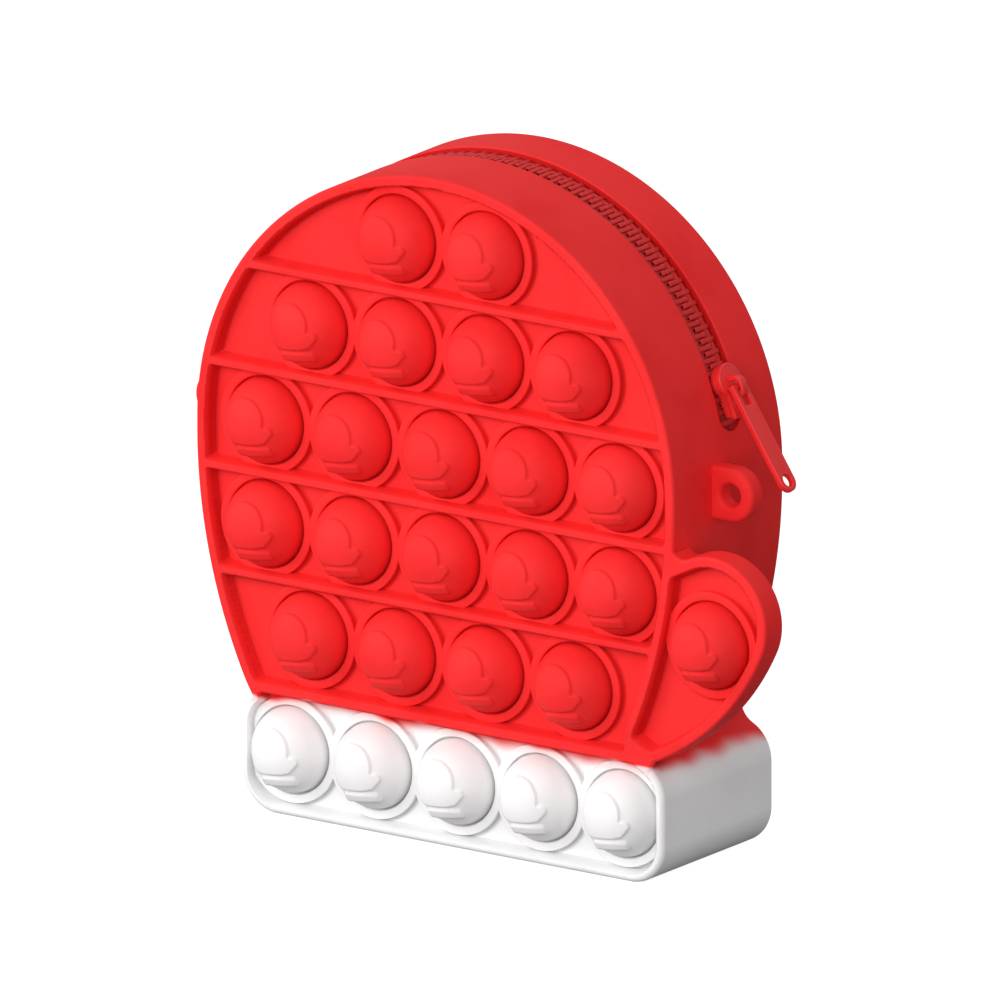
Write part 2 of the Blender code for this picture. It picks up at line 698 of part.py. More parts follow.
def make_slider():
    """The slider's two wings with the bail, and the pull tab that hangs in the bail."""
    carrier = pivot("slider_pivot")
    carrier.location = (BODY_CENTRE.x, Y_ZIP, BODY_CENTRE.y)
    carrier.rotation_euler = (0, math.radians(90 - SLIDER_ANGLE), 0)
    middle = Vector((0, 0))
    tail = TAIL_WIDTH / 2
    flank = math.degrees(math.asin(tail / SLIDER_HALF))
    plan = arc(middle, SLIDER_HALF, flank, 360 - flank, 2 * HOLE_STEPS)
    plan += [Vector((TAIL_LENGTH, -tail)), Vector((TAIL_LENGTH, tail))]
    top = slab("slider_top_wing", [plan], SLIDER_BOTTOM - OVERRUN, SLIDER_TOP, pouch_parts,
               standing=False, parent=carrier)
    runner = slab("slider_seat", [arc(middle, SLIDER_BOTTOM, 0, 360, 4 * TOP_STEPS)[:-1]],
                  -SLOT_WIDTH, SLOT_WIDTH, cutter_parts, parent=carrier)
    shape_with(top, [runner])
    inside = BAIL_HALF
    outside = BAIL_HALF + BAIL_POST
    bail_top = BAIL_INSIDE + BAIL_THICKNESS
    foot = SLIDER_TOP - CLEARANCE
    bail_points = [(-outside, foot), (-inside, foot), (-inside, BAIL_INSIDE),
                   (inside, BAIL_INSIDE), (inside, foot), (outside, foot),
                   (outside, bail_top - BAIL_BEVEL), (outside - BAIL_BEVEL, bail_top),
                   (BAIL_BEVEL - outside, bail_top), (-outside, bail_top - BAIL_BEVEL)]
    bail_loop = [Vector((x + PIVOT_OFFSET, z)) for x, z in bail_points]
    bail = slab("slider_bail", [bail_loop], -BAIL_WIDTH / 2, BAIL_WIDTH / 2, cutter_parts,
                parent=carrier)
    shape_with(top, [bail], 'UNION')
    finish(top, slider_metal)
    wing_outer = TAPE_BOTTOM - CLEARANCE
    reach = math.degrees(SLIDER_HALF / BODY_RADIUS)
    tail_reach = math.degrees(TAIL_LENGTH / BODY_RADIUS)
    wing = slab("slider_bottom_wing",
                [sector(wing_outer - WING_THICKNESS, wing_outer, 90 - tail_reach, 90 + reach,
                        HOLE_STEPS)],
                -SLIDER_HALF, SLIDER_HALF, pouch_parts, parent=carrier)
    finish(wing, slider_metal)
    make_pull(carrier)


def make_pull(carrier):
    """The flat pull tab, with a window for the bail and a hole at its end."""
    hinge = pivot("pull_pivot", carrier)
    hinge.location = (PIVOT_OFFSET, 0, PIVOT_RADIUS)
    hinge.rotation_euler = (0, math.radians(PULL_DROOP_ANGLE - (90 - SLIDER_ANGLE)), 0)
    half = PULL_WIDTH / 2
    near = PULL_BAR / 2
    end = Vector((PULL_LENGTH - half, 0))
    edge = arc(end, half, -90, 90, HOLE_STEPS) + [Vector((-near, half)), Vector((-near, -half))]
    window_half = BAIL_WIDTH / 2 + CLEARANCE
    bail_rise = BAIL_INSIDE + BAIL_THICKNESS - PIVOT_RADIUS
    far = math.hypot(BAIL_HALF + BAIL_POST, bail_rise) + CLEARANCE
    window = [Vector((near, -window_half)), Vector((far, -window_half)),
              Vector((far, window_half)), Vector((near, window_half))]
    hole = arc(end, PULL_HOLE / 2, 0, 360, HOLE_STEPS)[:-1]
    thick = PULL_THICKNESS / 2
    tab = slab("pull_tab", [edge, window, hole], -thick, thick, pouch_parts,
               standing=False, parent=hinge)
    finish(tab, slider_metal)


# Strap lugs
def make_lugs():
    """A lug on each side of the wall, with its hole along Y for the strap's clip."""
    seat = slab("lug_seat", [bag_outline(-CLEARANCE)], Y_FRONT, Y_BACK, cutter_parts)
    low = Y_FRONT + LUG_SETBACK
    shift = BODY_RADIUS + LUG_REACH
    hole = arc(Vector((0, 0)), LUG_HOLE / 2, 0, 360, HOLE_STEPS)[:-1]
    for name, side in (("strap_lug_right", 1), ("strap_lug_left", -1)):
        centre = Vector((BODY_CENTRE_X + side * shift, LUG_Z))
        loops = []
        for loop in (lug_outline(), hole):
            loops.append([Vector((point.x * side, point.y)) + centre for point in loop])
        lug = slab(name, loops, low, low + LUG_THICKNESS, pouch_parts)
        shape_with(lug, [seat])
        finish(lug, red_silicone)


make_front_shell()
make_front_wall()
make_back_shell()
make_cuff_shell()
make_bubbles(BODY_BUBBLES + THUMB_BUBBLES, red_silicone)
make_bubbles(CUFF_BUBBLES, white_silicone)
make_zip()
make_slider()
make_lugs()
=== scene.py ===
# %% [markdown]
# # A silicone push-bubble pouch
# The pouch is moulded in red silicone with a white cuff. Its front is a board of push
# bubbles, a zip runs round its top, and a lug on each side takes a strap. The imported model
# comes in first as a fixed frame. It gives every size and place, so each new piece is
# made where the solid is and needs no fitting.

# %% Load the frame
import json
import math

import bmesh
import bpy
import numpy as np
from mathutils import Matrix, Vector, kdtree

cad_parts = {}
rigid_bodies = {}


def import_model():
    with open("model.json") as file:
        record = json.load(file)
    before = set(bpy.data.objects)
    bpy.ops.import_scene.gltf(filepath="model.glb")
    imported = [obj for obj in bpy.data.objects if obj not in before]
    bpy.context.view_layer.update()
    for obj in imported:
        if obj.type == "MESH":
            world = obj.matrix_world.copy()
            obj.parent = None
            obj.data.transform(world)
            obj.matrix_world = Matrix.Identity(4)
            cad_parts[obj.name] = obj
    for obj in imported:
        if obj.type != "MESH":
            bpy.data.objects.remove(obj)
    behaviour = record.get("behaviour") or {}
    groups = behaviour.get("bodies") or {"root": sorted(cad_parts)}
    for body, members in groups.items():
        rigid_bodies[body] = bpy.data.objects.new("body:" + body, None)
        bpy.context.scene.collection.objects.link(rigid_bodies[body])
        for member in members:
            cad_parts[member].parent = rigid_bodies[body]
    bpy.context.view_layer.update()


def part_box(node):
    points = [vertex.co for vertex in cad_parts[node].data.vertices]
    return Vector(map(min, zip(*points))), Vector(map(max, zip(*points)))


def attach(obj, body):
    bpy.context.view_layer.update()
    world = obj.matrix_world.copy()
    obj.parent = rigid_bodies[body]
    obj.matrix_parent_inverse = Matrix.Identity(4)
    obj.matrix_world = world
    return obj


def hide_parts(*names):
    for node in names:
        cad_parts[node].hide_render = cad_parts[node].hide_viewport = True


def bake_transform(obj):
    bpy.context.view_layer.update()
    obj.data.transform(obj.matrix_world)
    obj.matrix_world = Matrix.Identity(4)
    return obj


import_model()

# %% [markdown]
# ## Sizes
# The outlines of the pouch are arcs, so a few radii and centres give its whole shape. They
# are the same as in the solid. A point of the front is given as (x, z).

# %% Named sizes, in metres
MM = 0.001
PITCH = 25 * MM
RIM = 2.9 * MM
RIB = 2.6 * MM
HOLE = 10.5 * MM
BUBBLE = 10.3 * MM
DOME = 9.7 * MM
Y_FRONT = -22.5 * MM
Y_FLOOR = -19.1 * MM
Y_INSIDE = -17.5 * MM
Y_ZIP = 3.3 * MM
Y_BACK = 22.5 * MM
RECESS = Y_FLOOR - Y_FRONT
SEAM_Z = 28.35 * MM
POCKET_Z = 31.45 * MM
ROW_Z = 44.05 * MM
CUFF_ROW_Z = 15.6 * MM
CUFF_PITCH = 23.5 * MM
CUFF_X = 4.2 * MM
CUFF_RIM = 2.3 * MM
BODY = Vector((-0.7 * MM, 93.05 * MM))
BODY_R = 67.7 * MM
SIDE_R = 134 * MM
SIDE_Z = 90.05 * MM
SHOULDER_TOP = 30.05 * MM
ROW_COUNTS = (4, 5, 5, 4, 2)
THUMB_BUBBLE = (76.2 * MM, 60.35 * MM)

bubbles = {}
for row, count in enumerate(ROW_COUNTS):
    for index in range(count):
        place = ((index - (count - 1) / 2) * PITCH, ROW_Z + row * PITCH)
        bubbles[f"bubble_row{row + 1}_{index + 1}"] = place
bubbles["bubble_thumb"] = THUMB_BUBBLE
for index in range(5):
    bubbles[f"bubble_cuff_{index + 1}"] = (CUFF_X + (index - 2) * CUFF_PITCH, CUFF_ROW_Z)
low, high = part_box("bubble_thumb")
print("thumb bubble off its node by",
      round(((low.x + high.x) / 2 - THUMB_BUBBLE[0]) / MM, 3), "mm")

# %% [markdown]
# ## Outlines
# The front could be traced point by point, but arcs that run into each other give smooth
# edges at any fineness. Each outline is a closed row of points, anticlockwise. A search
# tree finds the nearest one, which tells how far a place is from the edge, and which way
# is out.

# %% Arcs and outlines
STEP = 0.25 * MM
HAIR = 0.01 * MM


def arc(centre, radius, start, end):
    """Points on a round stretch between two angles in degrees."""
    count = max(2, round(abs(math.radians(end - start)) * radius / STEP))
    turn = np.radians(np.linspace(start, end, count + 1))
    return np.column_stack((centre[0] + radius * np.cos(turn),
                            centre[1] + radius * np.sin(turn)))


def heading(start, end):
    """Angle in degrees of the way from one point to another."""
    return math.degrees(math.atan2(end[1] - start[1], end[0] - start[0]))


def crossing(first, first_radius, second, second_radius, side):
    """Where two circles meet, on the left (1) or right (-1) of the way between them."""
    way = second - first
    along = (way.length ** 2 + first_radius ** 2 - second_radius ** 2) / (2 * way.length)
    across = math.sqrt(first_radius ** 2 - along ** 2)
    way = way.normalized()
    return first + way * along + Vector((-way.y, way.x)) * across * side


CORNER_R = 9.5 * MM
WAIST_R = 5.5 * MM
CUFF_END = 12.7 * MM
side_shift = SIDE_R - BODY_R
right_side = Vector((BODY.x - side_shift, SIDE_Z))
left_side = Vector((BODY.x + side_shift, SIDE_Z))
cuff_half = 2 * CUFF_PITCH + CUFF_END
shoulder_z = SHOULDER_TOP - CORNER_R
right_shoulder = Vector((CUFF_X + cuff_half - CORNER_R, shoulder_z))
left_shoulder = Vector((CUFF_X - cuff_half + CORNER_R, shoulder_z))
waist = crossing(right_side, SIDE_R + WAIST_R, right_shoulder, CORNER_R + WAIST_R, 1)


def bag_outline(inset):
    """The front outline without the thumb, drawn in by inset."""
    corner = CORNER_R - inset
    side = SIDE_R - inset
    meet = crossing(left_side, side, left_shoulder, corner, -1)
    turn = heading(right_shoulder, waist)
    return np.vstack((
        arc((right_shoulder.x, CORNER_R), corner, -90, 0),
        arc(right_shoulder, corner, 0, turn),
        arc(waist, WAIST_R + inset, turn + 180, heading(waist, right_side)),
        arc(right_side, side, heading(right_side, waist), 0),
        arc(BODY, BODY_R - inset, 0, 180),
        arc(left_side, side, 180, heading(left_side, meet) % 360),
        arc(left_shoulder, corner, heading(left_shoulder, meet), 180),
        arc((left_shoulder.x, CORNER_R), corner, 180, 270)))


THUMB = Vector((77.5 * MM, 66.55 * MM))
THUMB_R = 15.6 * MM
THUMB_BEND = -25
HEEL = Vector((61.5 * MM, SHOULDER_TOP))
VALLEY_R = 3 * MM
valley = crossing(BODY, BODY_R + VALLEY_R, THUMB, THUMB_R + VALLEY_R, 1)


def thumb_edge(inset, first=None):
    """The thumb's free edge, clockwise from its valley or from an angle to its heel."""
    bend = math.radians(THUMB_BEND)
    outward = Vector((math.cos(bend), math.sin(bend)))
    way = HEEL - THUMB
    spread = (way.length_squared - THUMB_R ** 2) / (2 * (THUMB_R - way.dot(outward)))
    centre = THUMB - outward * spread
    turn = heading(THUMB, valley) if first is None else first
    free = np.vstack((
        arc(THUMB, THUMB_R - inset, turn, THUMB_BEND),
        arc(centre, THUMB_R + spread - inset, THUMB_BEND, heading(centre, HEEL))))
    if first is not None:
        return free
    return np.vstack((arc(valley, VALLEY_R + inset, heading(valley, BODY) % 360,
                          heading(valley, THUMB) % 360), free))


def beyond(points, radius):
    """The points of an edge that lie outside the body's right side arc."""
    away = np.hypot(points[:, 0] - right_side.x, points[:, 1] - right_side.y)
    return points[away > radius + HAIR]


def front_outline():
    """The whole front edge, thumb included."""
    whole = bag_outline(0)
    start = crossing(right_side, SIDE_R, valley, VALLEY_R, -1)
    heel = len(arc((0, 0), CORNER_R, -90, 0)) + int(0.55 * len(arc((0, 0), CORNER_R, 0, 90)))
    edge = beyond(thumb_edge(0), SIDE_R)[::-1]
    while np.hypot(*(whole[heel] - edge[0])) > np.hypot(*(whole[heel + 1] - edge[0])):
        heel += 1
    rest = heel + int(np.argmax(whole[heel:, 1] > start.y))
    return np.vstack((whole[:heel], edge, whole[rest:]))


POCKET_FIRST, POCKET_LAST = 116, -6.4


def thumb_pocket():
    """The hollow of the thumb, from a corner at the body's side."""
    edge = beyond(thumb_edge(RIM, POCKET_FIRST), SIDE_R)
    side = arc(right_side, SIDE_R, heading(right_side, edge[-1]), POCKET_LAST)
    return cut_at(np.vstack((edge, side[1:])), POCKET_Z + MM, True)[::-1]


def cut_at(points, height, above):
    """The part of an outline above or below a level, with points along the cut."""
    sign = 1 if above else -1
    kept = []
    for index, point in enumerate(points):
        before = points[index - 1]
        inside = (point[1] - height) * sign >= 0
        if inside != ((before[1] - height) * sign >= 0):
            share = (height - before[1]) / (point[1] - before[1])
            kept.append((before[0] + share * (point[0] - before[0]), height))
        if inside:
            kept.append(tuple(point))
    return evenly(np.array(kept))


def evenly(points):
    """The same closed outline with points a step apart."""
    closed = np.vstack((points, points[:1]))
    reach = np.r_[0, np.cumsum(np.hypot(*np.diff(closed, axis=0).T))]
    places = np.linspace(0, reach[-1], round(reach[-1] / STEP), endpoint=False)
    return np.column_stack([np.interp(places, reach, closed[:, axis]) for axis in (0, 1)])


def soften(points, passes):
    """Round the corners of an outline by drawing each point towards its neighbours."""
    points = evenly(points)
    for _ in range(passes):
        points = (np.roll(points, 1, 0) + 2 * points + np.roll(points, -1, 0)) / 4
    return points


class Outline:
    """A closed edge that can be asked how far off a place is."""

    def __init__(self, points):
        self.points = evenly(points)
        way = np.roll(self.points, -1, 0) - np.roll(self.points, 1, 0)
        way /= np.hypot(*way.T)[:, None]
        self.out = np.column_stack((way[:, 1], -way[:, 0]))
        self.tree = kdtree.KDTree(len(self.points))
        for index, point in enumerate(self.points):
            self.tree.insert((*point, 0), index)
        self.tree.balance()

    def look(self, places):
        """Distance of each place from the edge, outside positive, and the way out."""
        near = np.array([self.tree.find((x, z, 0))[1] for x, z in places])
        out = self.out[near]
        return ((places - self.points[near]) * out).sum(1), out


front_edge = Outline(front_outline())
bag_edge = Outline(bag_outline(0))
body_pocket = Outline(soften(cut_at(bag_outline(RIM), POCKET_Z, True), 14))
thumb_hollow = Outline(soften(thumb_pocket(), 12))
cuff_pocket = Outline(soften(cut_at(bag_outline(CUFF_RIM), SEAM_Z, False), 10))
print("front edge:", len(front_edge.points), "points")

# %% [markdown]
# ## The relief of the front
# Rim and ribs stand at one height and run into each other with soft corners, as a mould
# makes them. Separate bars would cross with hard creases. So the relief is one height over
# the plane: each feature gives a distance from its edge, the distances are joined softly,
# and the height drops where the joined distance passes nought.

# %% Height of the relief at any place
SOFT = 0.3 * MM
SLOPE = 0.45 * MM
FACING = 0.62 * MM
WALL_LEVELS = np.array((-0.4, 0, 0.4)) * MM
centres = np.array(list(bubbles.values()))


def smooth(value):
    """A soft step from 0 to 1 while the value goes from 0 to 1."""
    share = np.clip(value, 0, 1)
    return share * share * (3 - 2 * share)


def relief(places):
    """Distance from the raised parts, the way off them, the height, and its slope."""
    looks = [pocket.look(places) for pocket in (body_pocket, thumb_hollow, cuff_pocket)]
    away = np.array([look[0] for look in looks])
    ways = np.array([look[1] for look in looks])
    pick = (np.argmin(away, axis=0), np.arange(len(places)))
    parts, slopes = [-away[pick]], [-ways[pick]]
    for row in range(4):
        over = places[:, 1] - (ROW_Z + (row + 0.5) * PITCH)
        parts.append(np.where(away[0] < MM, np.abs(over) - RIB / 2, 1))
        slopes.append(np.column_stack((0 * over, np.sign(over))))
    parts, slopes = np.array(parts), np.array(slopes)
    weight = np.exp(-np.clip(parts / SOFT, -60, 60))
    total = weight.sum(0)
    distance = -SOFT * np.log(total)
    slope = (weight[..., None] * slopes).sum(0) / total[:, None]
    height = RECESS * (1 - smooth((distance + SLOPE) / (2 * SLOPE)))
    share = np.clip((distance + FACING) / (2 * FACING), 0, 1)
    steep = -RECESS * 6 * share * (1 - share) / (2 * FACING)
    return distance, slope, height, steep[:, None] * slope


print("height on a rib:", relief(np.array([[0, ROW_Z + PITCH / 2]]))[2] / MM, "mm")

# %% [markdown]
# ## Sheets cut from a grid
# A grid follows no curve, so its cells would leave teeth along every round edge. Before the
# cut, the points near an edge are moved onto it, and a cell that the edge crosses from
# corner to corner is split there. What is left has a smooth border that can be extruded.

# %% Cut a grid to an outline
SHEET_HOLE = HOLE - 0.1 * MM
BORDER_REACH = 1.9 * MM
NEAR_WALL = 0.65 * MM
LONGEST_MOVE = 0.3 * MM
REACH = 0.56
MERGE = 0.0001 * MM


def edge_radius(heights):
    """Rounding of the front's outer edge: small on the body, larger on the cuff."""
    return (0.8 + 0.6 * smooth((32 * MM - heights) / (6 * MM))) * MM


def spots(mesh):
    """The (x, z) places of a mesh's points."""
    return np.array([(vert.co.x, vert.co.z) for vert in mesh.verts])


def place_at(mesh, places, depth):
    """Put a mesh's points at (x, z) places and depths."""
    for vert, (x, z), y in zip(mesh.verts, places, depth):
        vert.co = (x, y, z)


def stand_up(mesh):
    """Turn a mesh that lies flat so that it faces the front."""
    bmesh.ops.rotate(mesh, verts=mesh.verts, cent=(0, 0, 0),
                     matrix=Matrix.Rotation(math.pi / 2, 3, 'X'))


def flat_grid(low, high, cell):
    """An upright grid of square cells that covers a box of (x, z) places."""
    count = np.ceil((high - low) / cell).astype(int)
    mesh = bmesh.new()
    bmesh.ops.create_grid(mesh, x_segments=int(count[0]), y_segments=int(count[1]), size=1)
    stretch = Matrix.Diagonal((*(count * cell / 2), 1, 1))
    bmesh.ops.transform(mesh, verts=mesh.verts, matrix=stretch)
    stand_up(mesh)
    middle = low + count * cell / 2
    bmesh.ops.translate(mesh, verts=mesh.verts, vec=(middle[0], 0, middle[1]))
    return mesh


def to_walls(places):
    """Move the places near a wall of the relief onto lines that run along it."""
    for _ in range(3):
        distance, slope = relief(places)[:2]
        near = np.abs(distance) < NEAR_WALL
        target = WALL_LEVELS[np.argmin(np.abs(distance[:, None] - WALL_LEVELS), axis=1)]
        size = np.maximum((slope ** 2).sum(1), 0.5)[:, None]
        move = -((distance - target)[:, None] * slope) / size
        far = np.maximum(np.hypot(*move.T), 0.001 * MM)
        move *= np.minimum(1, LONGEST_MOVE / far)[:, None]
        places = np.where(near[:, None], places + move, places)
    return places


def cut_sheet(edge, inset, cell, holes=(), along_walls=False):
    """A flat grid cut to an outline drawn in by inset, with round holes."""
    mesh = flat_grid(edge.points.min(0) - cell, edge.points.max(0) + cell, cell)
    places = to_walls(spots(mesh)) if along_walls else spots(mesh)
    border = np.zeros(len(places), bool)
    outside = np.zeros(len(places), bool)
    for centre in holes:
        gap = places - centre
        away = np.hypot(*gap.T)
        near = np.abs(away - SHEET_HOLE) < REACH * cell
        snapped = centre + gap / np.maximum(away, 1e-9)[:, None] * SHEET_HOLE
        places = np.where(near[:, None], snapped, places)
        border |= near
        outside |= (away < SHEET_HOLE) & ~near
    distance, out = edge.look(places)
    drawn = inset(places[:, 1]) if callable(inset) else inset
    off = distance + drawn
    near = np.abs(off) < REACH * cell
    places = np.where(near[:, None], places - off[:, None] * out, places)
    border |= near
    outside |= (off > 0) & ~near
    place_at(mesh, places, 0 * off)
    verts = list(mesh.verts)
    mark = {vert: (bool(outside[index]), bool(border[index]))
            for index, vert in enumerate(verts)}
    for face in list(mesh.faces):
        gone = [loop for loop in face.loops if mark[loop.vert][0]]
        if len(gone) == 1 and len(face.loops) == 4:
            first, second = gone[0].link_loop_next, gone[0].link_loop_prev
            bmesh.utils.face_split(face, first.vert, second.vert)
    bmesh.ops.delete(mesh, geom=[vert for vert in verts if mark[vert][0]], context='VERTS')
    loose = [vert for vert in mesh.verts if not vert.link_faces]
    bmesh.ops.delete(mesh, geom=loose, context='VERTS')
    return mesh


def border_edges(mesh, edge):
    """The open edges of a sheet that lie along its outline, not round its holes."""
    rim = [item for item in mesh.edges if item.is_boundary]
    middle = np.array([((item.verts[0].co + item.verts[1].co) / 2).xz for item in rim])
    distance = edge.look(middle)[0]
    return [item for item, off in zip(rim, distance) if off > -BORDER_REACH]


# %% [markdown]
# ## Shading directions and creases
# The steep walls of the relief are only two or three cells wide. Their look comes from the
# true slope of the height, kept as a direction on each point, and not from the cells. A
# second number on each point is painted shade: how much its colour is darkened in creases,
# at the feet of walls and on sides turned from the light.

# %% Keep a direction on each point and make an object
def lean_layer(mesh):
    """The layer that holds the shading direction of each point."""
    return (mesh.verts.layers.float_vector.get("lean")
            or mesh.verts.layers.float_vector.new("lean"))


def paint_shade(mesh, shares):
    """Keep on each point how much painted shade darkens its colour, from 0 to 1."""
    layer = mesh.verts.layers.float.get("crease") or mesh.verts.layers.float.new("crease")
    for vert, share in zip(mesh.verts, shares):
        vert[layer] = float(share)


def shaded(ways):
    """How far ways (x, z) point to the lower right, off the light, from 0 to 1."""
    return smooth(0.5 + 0.5 * (0.8 * ways[:, 0] - 0.6 * ways[:, 1]))


def new_object(name, mesh, rounded=True):
    """Make an object from a mesh in progress and free it."""
    lean = mesh.verts.layers.float_vector.get("lean")
    directions = [tuple(vert[lean]) for vert in mesh.verts] if lean else None
    if lean:
        mesh.verts.layers.float_vector.remove(lean)
    data = bpy.data.meshes.new(name)
    mesh.to_mesh(data)
    mesh.free()
    for polygon in data.polygons:
        polygon.use_smooth = rounded
    if directions:
        data.normals_split_custom_set_from_vertices(directions)
    piece = bpy.data.objects.new(name, data)
    bpy.context.scene.collection.objects.link(piece)
    count = sum(len(polygon.vertices) - 2 for polygon in data.polygons)
    print(name, count, "triangles")
    return piece


def join_into(target, source):
    """Add one mesh in progress to another."""
    data = bpy.data.meshes.new("part")
    source.to_mesh(data)
    source.free()
    target.from_mesh(data)
    bpy.data.meshes.remove(data)


# %% [markdown]
# ## The front sheet
# The relief is laid on a fine sheet with a hole for each bubble. Its border is then
# extruded outwards ring by ring along a quarter circle, which rounds the front edge of the
# pouch and leaves it ready to meet the side wall.

# %% Make the front sheet with its rounded edge
CELL = 0.38 * MM
ROUND_STEPS = 5
COLLAR = 13 * MM
SHADE_REACH = 1.2 * MM


def of_kind(items, kind):
    """The points or the edges among the results of an operator."""
    return [item for item in items if isinstance(item, kind)]


def rounded_border(mesh, edge, front, towards, drawn):
    """Extrude a sheet's outer border along a quarter circle."""
    lean = lean_layer(mesh)
    rim = border_edges(mesh, edge)
    for step in range(1, ROUND_STEPS + 1):
        turn = math.pi / 2 * step / ROUND_STEPS
        grown = bmesh.ops.extrude_edge_only(mesh, edges=rim)["geom"]
        ring = of_kind(grown, bmesh.types.BMVert)
        rim = of_kind(grown, bmesh.types.BMEdge)
        places = np.array([vert.co.xz for vert in ring])
        distance, out = edge.look(places)
        radius = drawn(places[:, 1])
        target = radius * (math.sin(turn) - 1)
        places = places + (target - distance)[:, None] * out
        for vert, (x, z), size, way in zip(ring, places, radius, out):
            vert.co = (x, front + towards * size * (1 - math.cos(turn)), z)
            vert[lean] = (way[0] * math.sin(turn), -towards * math.cos(turn),
                          way[1] * math.sin(turn))


front = cut_sheet(front_edge, edge_radius, CELL, centres, True)
lean = lean_layer(front)
places = spots(front)
distance, facing, height, slope = relief(places)
place_at(front, places, Y_FLOOR - height)
for vert, (slope_x, slope_z) in zip(front.verts, slope):
    vert[lean] = Vector((-slope_x, -1, -slope_z)).normalized()
# Painted shade: darker at the feet of walls, less on walls that face up, and round each collar on
# the side turned from the light.
foot = smooth(distance / (0.3 * MM) + 1.5)
foot *= 1 - smooth((distance - 0.2 * MM) / SHADE_REACH)
foot *= 1 - 0.75 * smooth(facing[:, 1] / 0.7)
gaps = places[:, None] - centres[None]
away = np.hypot(gaps[..., 0], gaps[..., 1])
nearest = (np.arange(len(places)), np.argmin(away, axis=1))
rounds = 1 - smooth((away[nearest] - COLLAR) / SHADE_REACH)
rounds *= shaded(gaps[nearest] / away[nearest][:, None]) * smooth(distance / SLOPE)
paint_shade(front, np.maximum(foot, rounds))
rounded_border(front, front_edge, Y_FRONT, 1, edge_radius)
print("front sheet:", len(front.faces), "faces")

# %% [markdown]
# ## Collars
# A low collar stands round each bubble, under the ribs where it meets them. A height over
# a grid would make its steep round wall ragged. Its section is spun instead, like work on a
# lathe, and the ring covers the rough hole in the sheet.

# %% Turn one collar
COLLAR_TOP = 11.7 * MM
COLLAR_SIDES = 96


def round_part(centre, radius, start, end, steps):
    """A few points on a round stretch, from sizes in millimetres."""
    turns = np.radians(np.linspace(start, end, steps + 1))
    return [(MM * (centre[0] + radius * math.cos(turn)),
             MM * (centre[1] + radius * math.sin(turn))) for turn in turns]


def spun_collar():
    """A collar about the Y axis, its foot at depth nought, with its shading directions."""
    mesh = bmesh.new()
    section = [(HOLE, -0.4 * MM)] + round_part((11.0, 1.15), 0.25, 180, 90, 3)
    section += [(COLLAR_TOP, 1.44 * MM)] + round_part((12.55, 1.15), 0.25, 90, 0, 4)
    section += round_part((13.0, 0.2), 0.2, 180, 270, 3) + [(13.02 * MM, -0.1 * MM)]
    verts = [mesh.verts.new((out, -up, 0)) for out, up in section]
    edges = [mesh.edges.new(pair) for pair in zip(verts, verts[1:])]
    bmesh.ops.spin(mesh, geom=verts + edges, cent=(0, 0, 0), axis=(0, 1, 0),
                   angle=math.tau, steps=COLLAR_SIDES, use_merge=True)
    bmesh.ops.recalc_face_normals(mesh, faces=mesh.faces)
    top = min(mesh.faces, key=lambda face: face.calc_center_median().y)
    if top.normal.y > 0:
        bmesh.ops.reverse_faces(mesh, faces=mesh.faces)
    mesh.normal_update()
    lean = lean_layer(mesh)
    for vert in mesh.verts:
        vert[lean] = vert.normal
    # Painted shade on the low part of the collar, on its sides turned from the light.
    ways = np.array([vert.co.xz.normalized() for vert in mesh.verts])
    inside = np.array([vert.co.xz.length < COLLAR_TOP for vert in mesh.verts])
    low = np.array([1 - smooth((-vert.co.y / MM - 0.5) / 0.8) for vert in mesh.verts])
    paint_shade(mesh, low * shaded(np.where(inside[:, None], -ways, ways)))
    return mesh


def cut_off(mesh, place, way):
    """Cut a mesh by a plane and drop what lies beyond it."""
    bmesh.ops.bisect_plane(mesh, geom=mesh.verts[:] + mesh.edges[:] + mesh.faces[:],
                           dist=MERGE, plane_co=place, plane_no=way, clear_outer=True)


def collars_of(white):
    """A collar for each white or each red bubble, ending inside the cuff's rim."""
    rings = []
    for name, (x, z) in bubbles.items():
        if ("cuff" in name) == white:
            ring = collar.copy()
            bmesh.ops.translate(ring, verts=ring.verts, vec=(x, Y_FLOOR, z))
            for side in (-1, 1) if white else ():
                cut_off(ring, (CUFF_X + side * (cuff_half - 1.5 * MM), 0, 0), (side, 0, 0))
            rings.append(ring)
    return rings


collar = spun_collar()
print("collar:", len(collar.faces), "faces, top at",
      round(-min(vert.co.y for vert in collar.verts) / MM, 2), "mm over the floor")

# %% [markdown]
# ## Side wall, back sheet and thumb
# The wall could be part of the sheets, but its slot for the zip needs columns that are
# close together at the round ends. So it is a chain of points extruded along the depth: it
# stops at the slot, turns over a small lip and runs inwards. The thumb is a cap that is
# open behind, so its skirt turns in and runs forward to the panel.

# %% Chains of points that are extruded ring by ring
SLOT_HALF = 4.45 * MM
SLOT_END = 10.2
SLOT_TURN = SLOT_END + math.degrees(math.asin(SLOT_HALF / BODY_R))
WALL = 2 * MM
LIP = 0.4 * MM
BACK_ROUND = 1.3 * MM
THUMB_BACK = -15.5 * MM


def chain(points, depth, directions):
    """A row of points joined by edges, each with its shading direction."""
    mesh = bmesh.new()
    lean = lean_layer(mesh)
    verts = []
    for (x, z), y, way in zip(points, depth, directions):
        vert = mesh.verts.new((x, y, z))
        vert[lean] = way
        verts.append(vert)
    edges = [mesh.edges.new(pair) for pair in zip(verts, verts[1:])]
    return mesh, verts, edges


def extruded(mesh, edges):
    """Extrude a row of edges and give back the points and edges of the new row."""
    grown = bmesh.ops.extrude_edge_only(mesh, edges=edges)["geom"]
    fresh = set(of_kind(grown, bmesh.types.BMVert))
    return fresh, [edge for edge in of_kind(grown, bmesh.types.BMEdge)
                   if fresh.issuperset(edge.verts)]


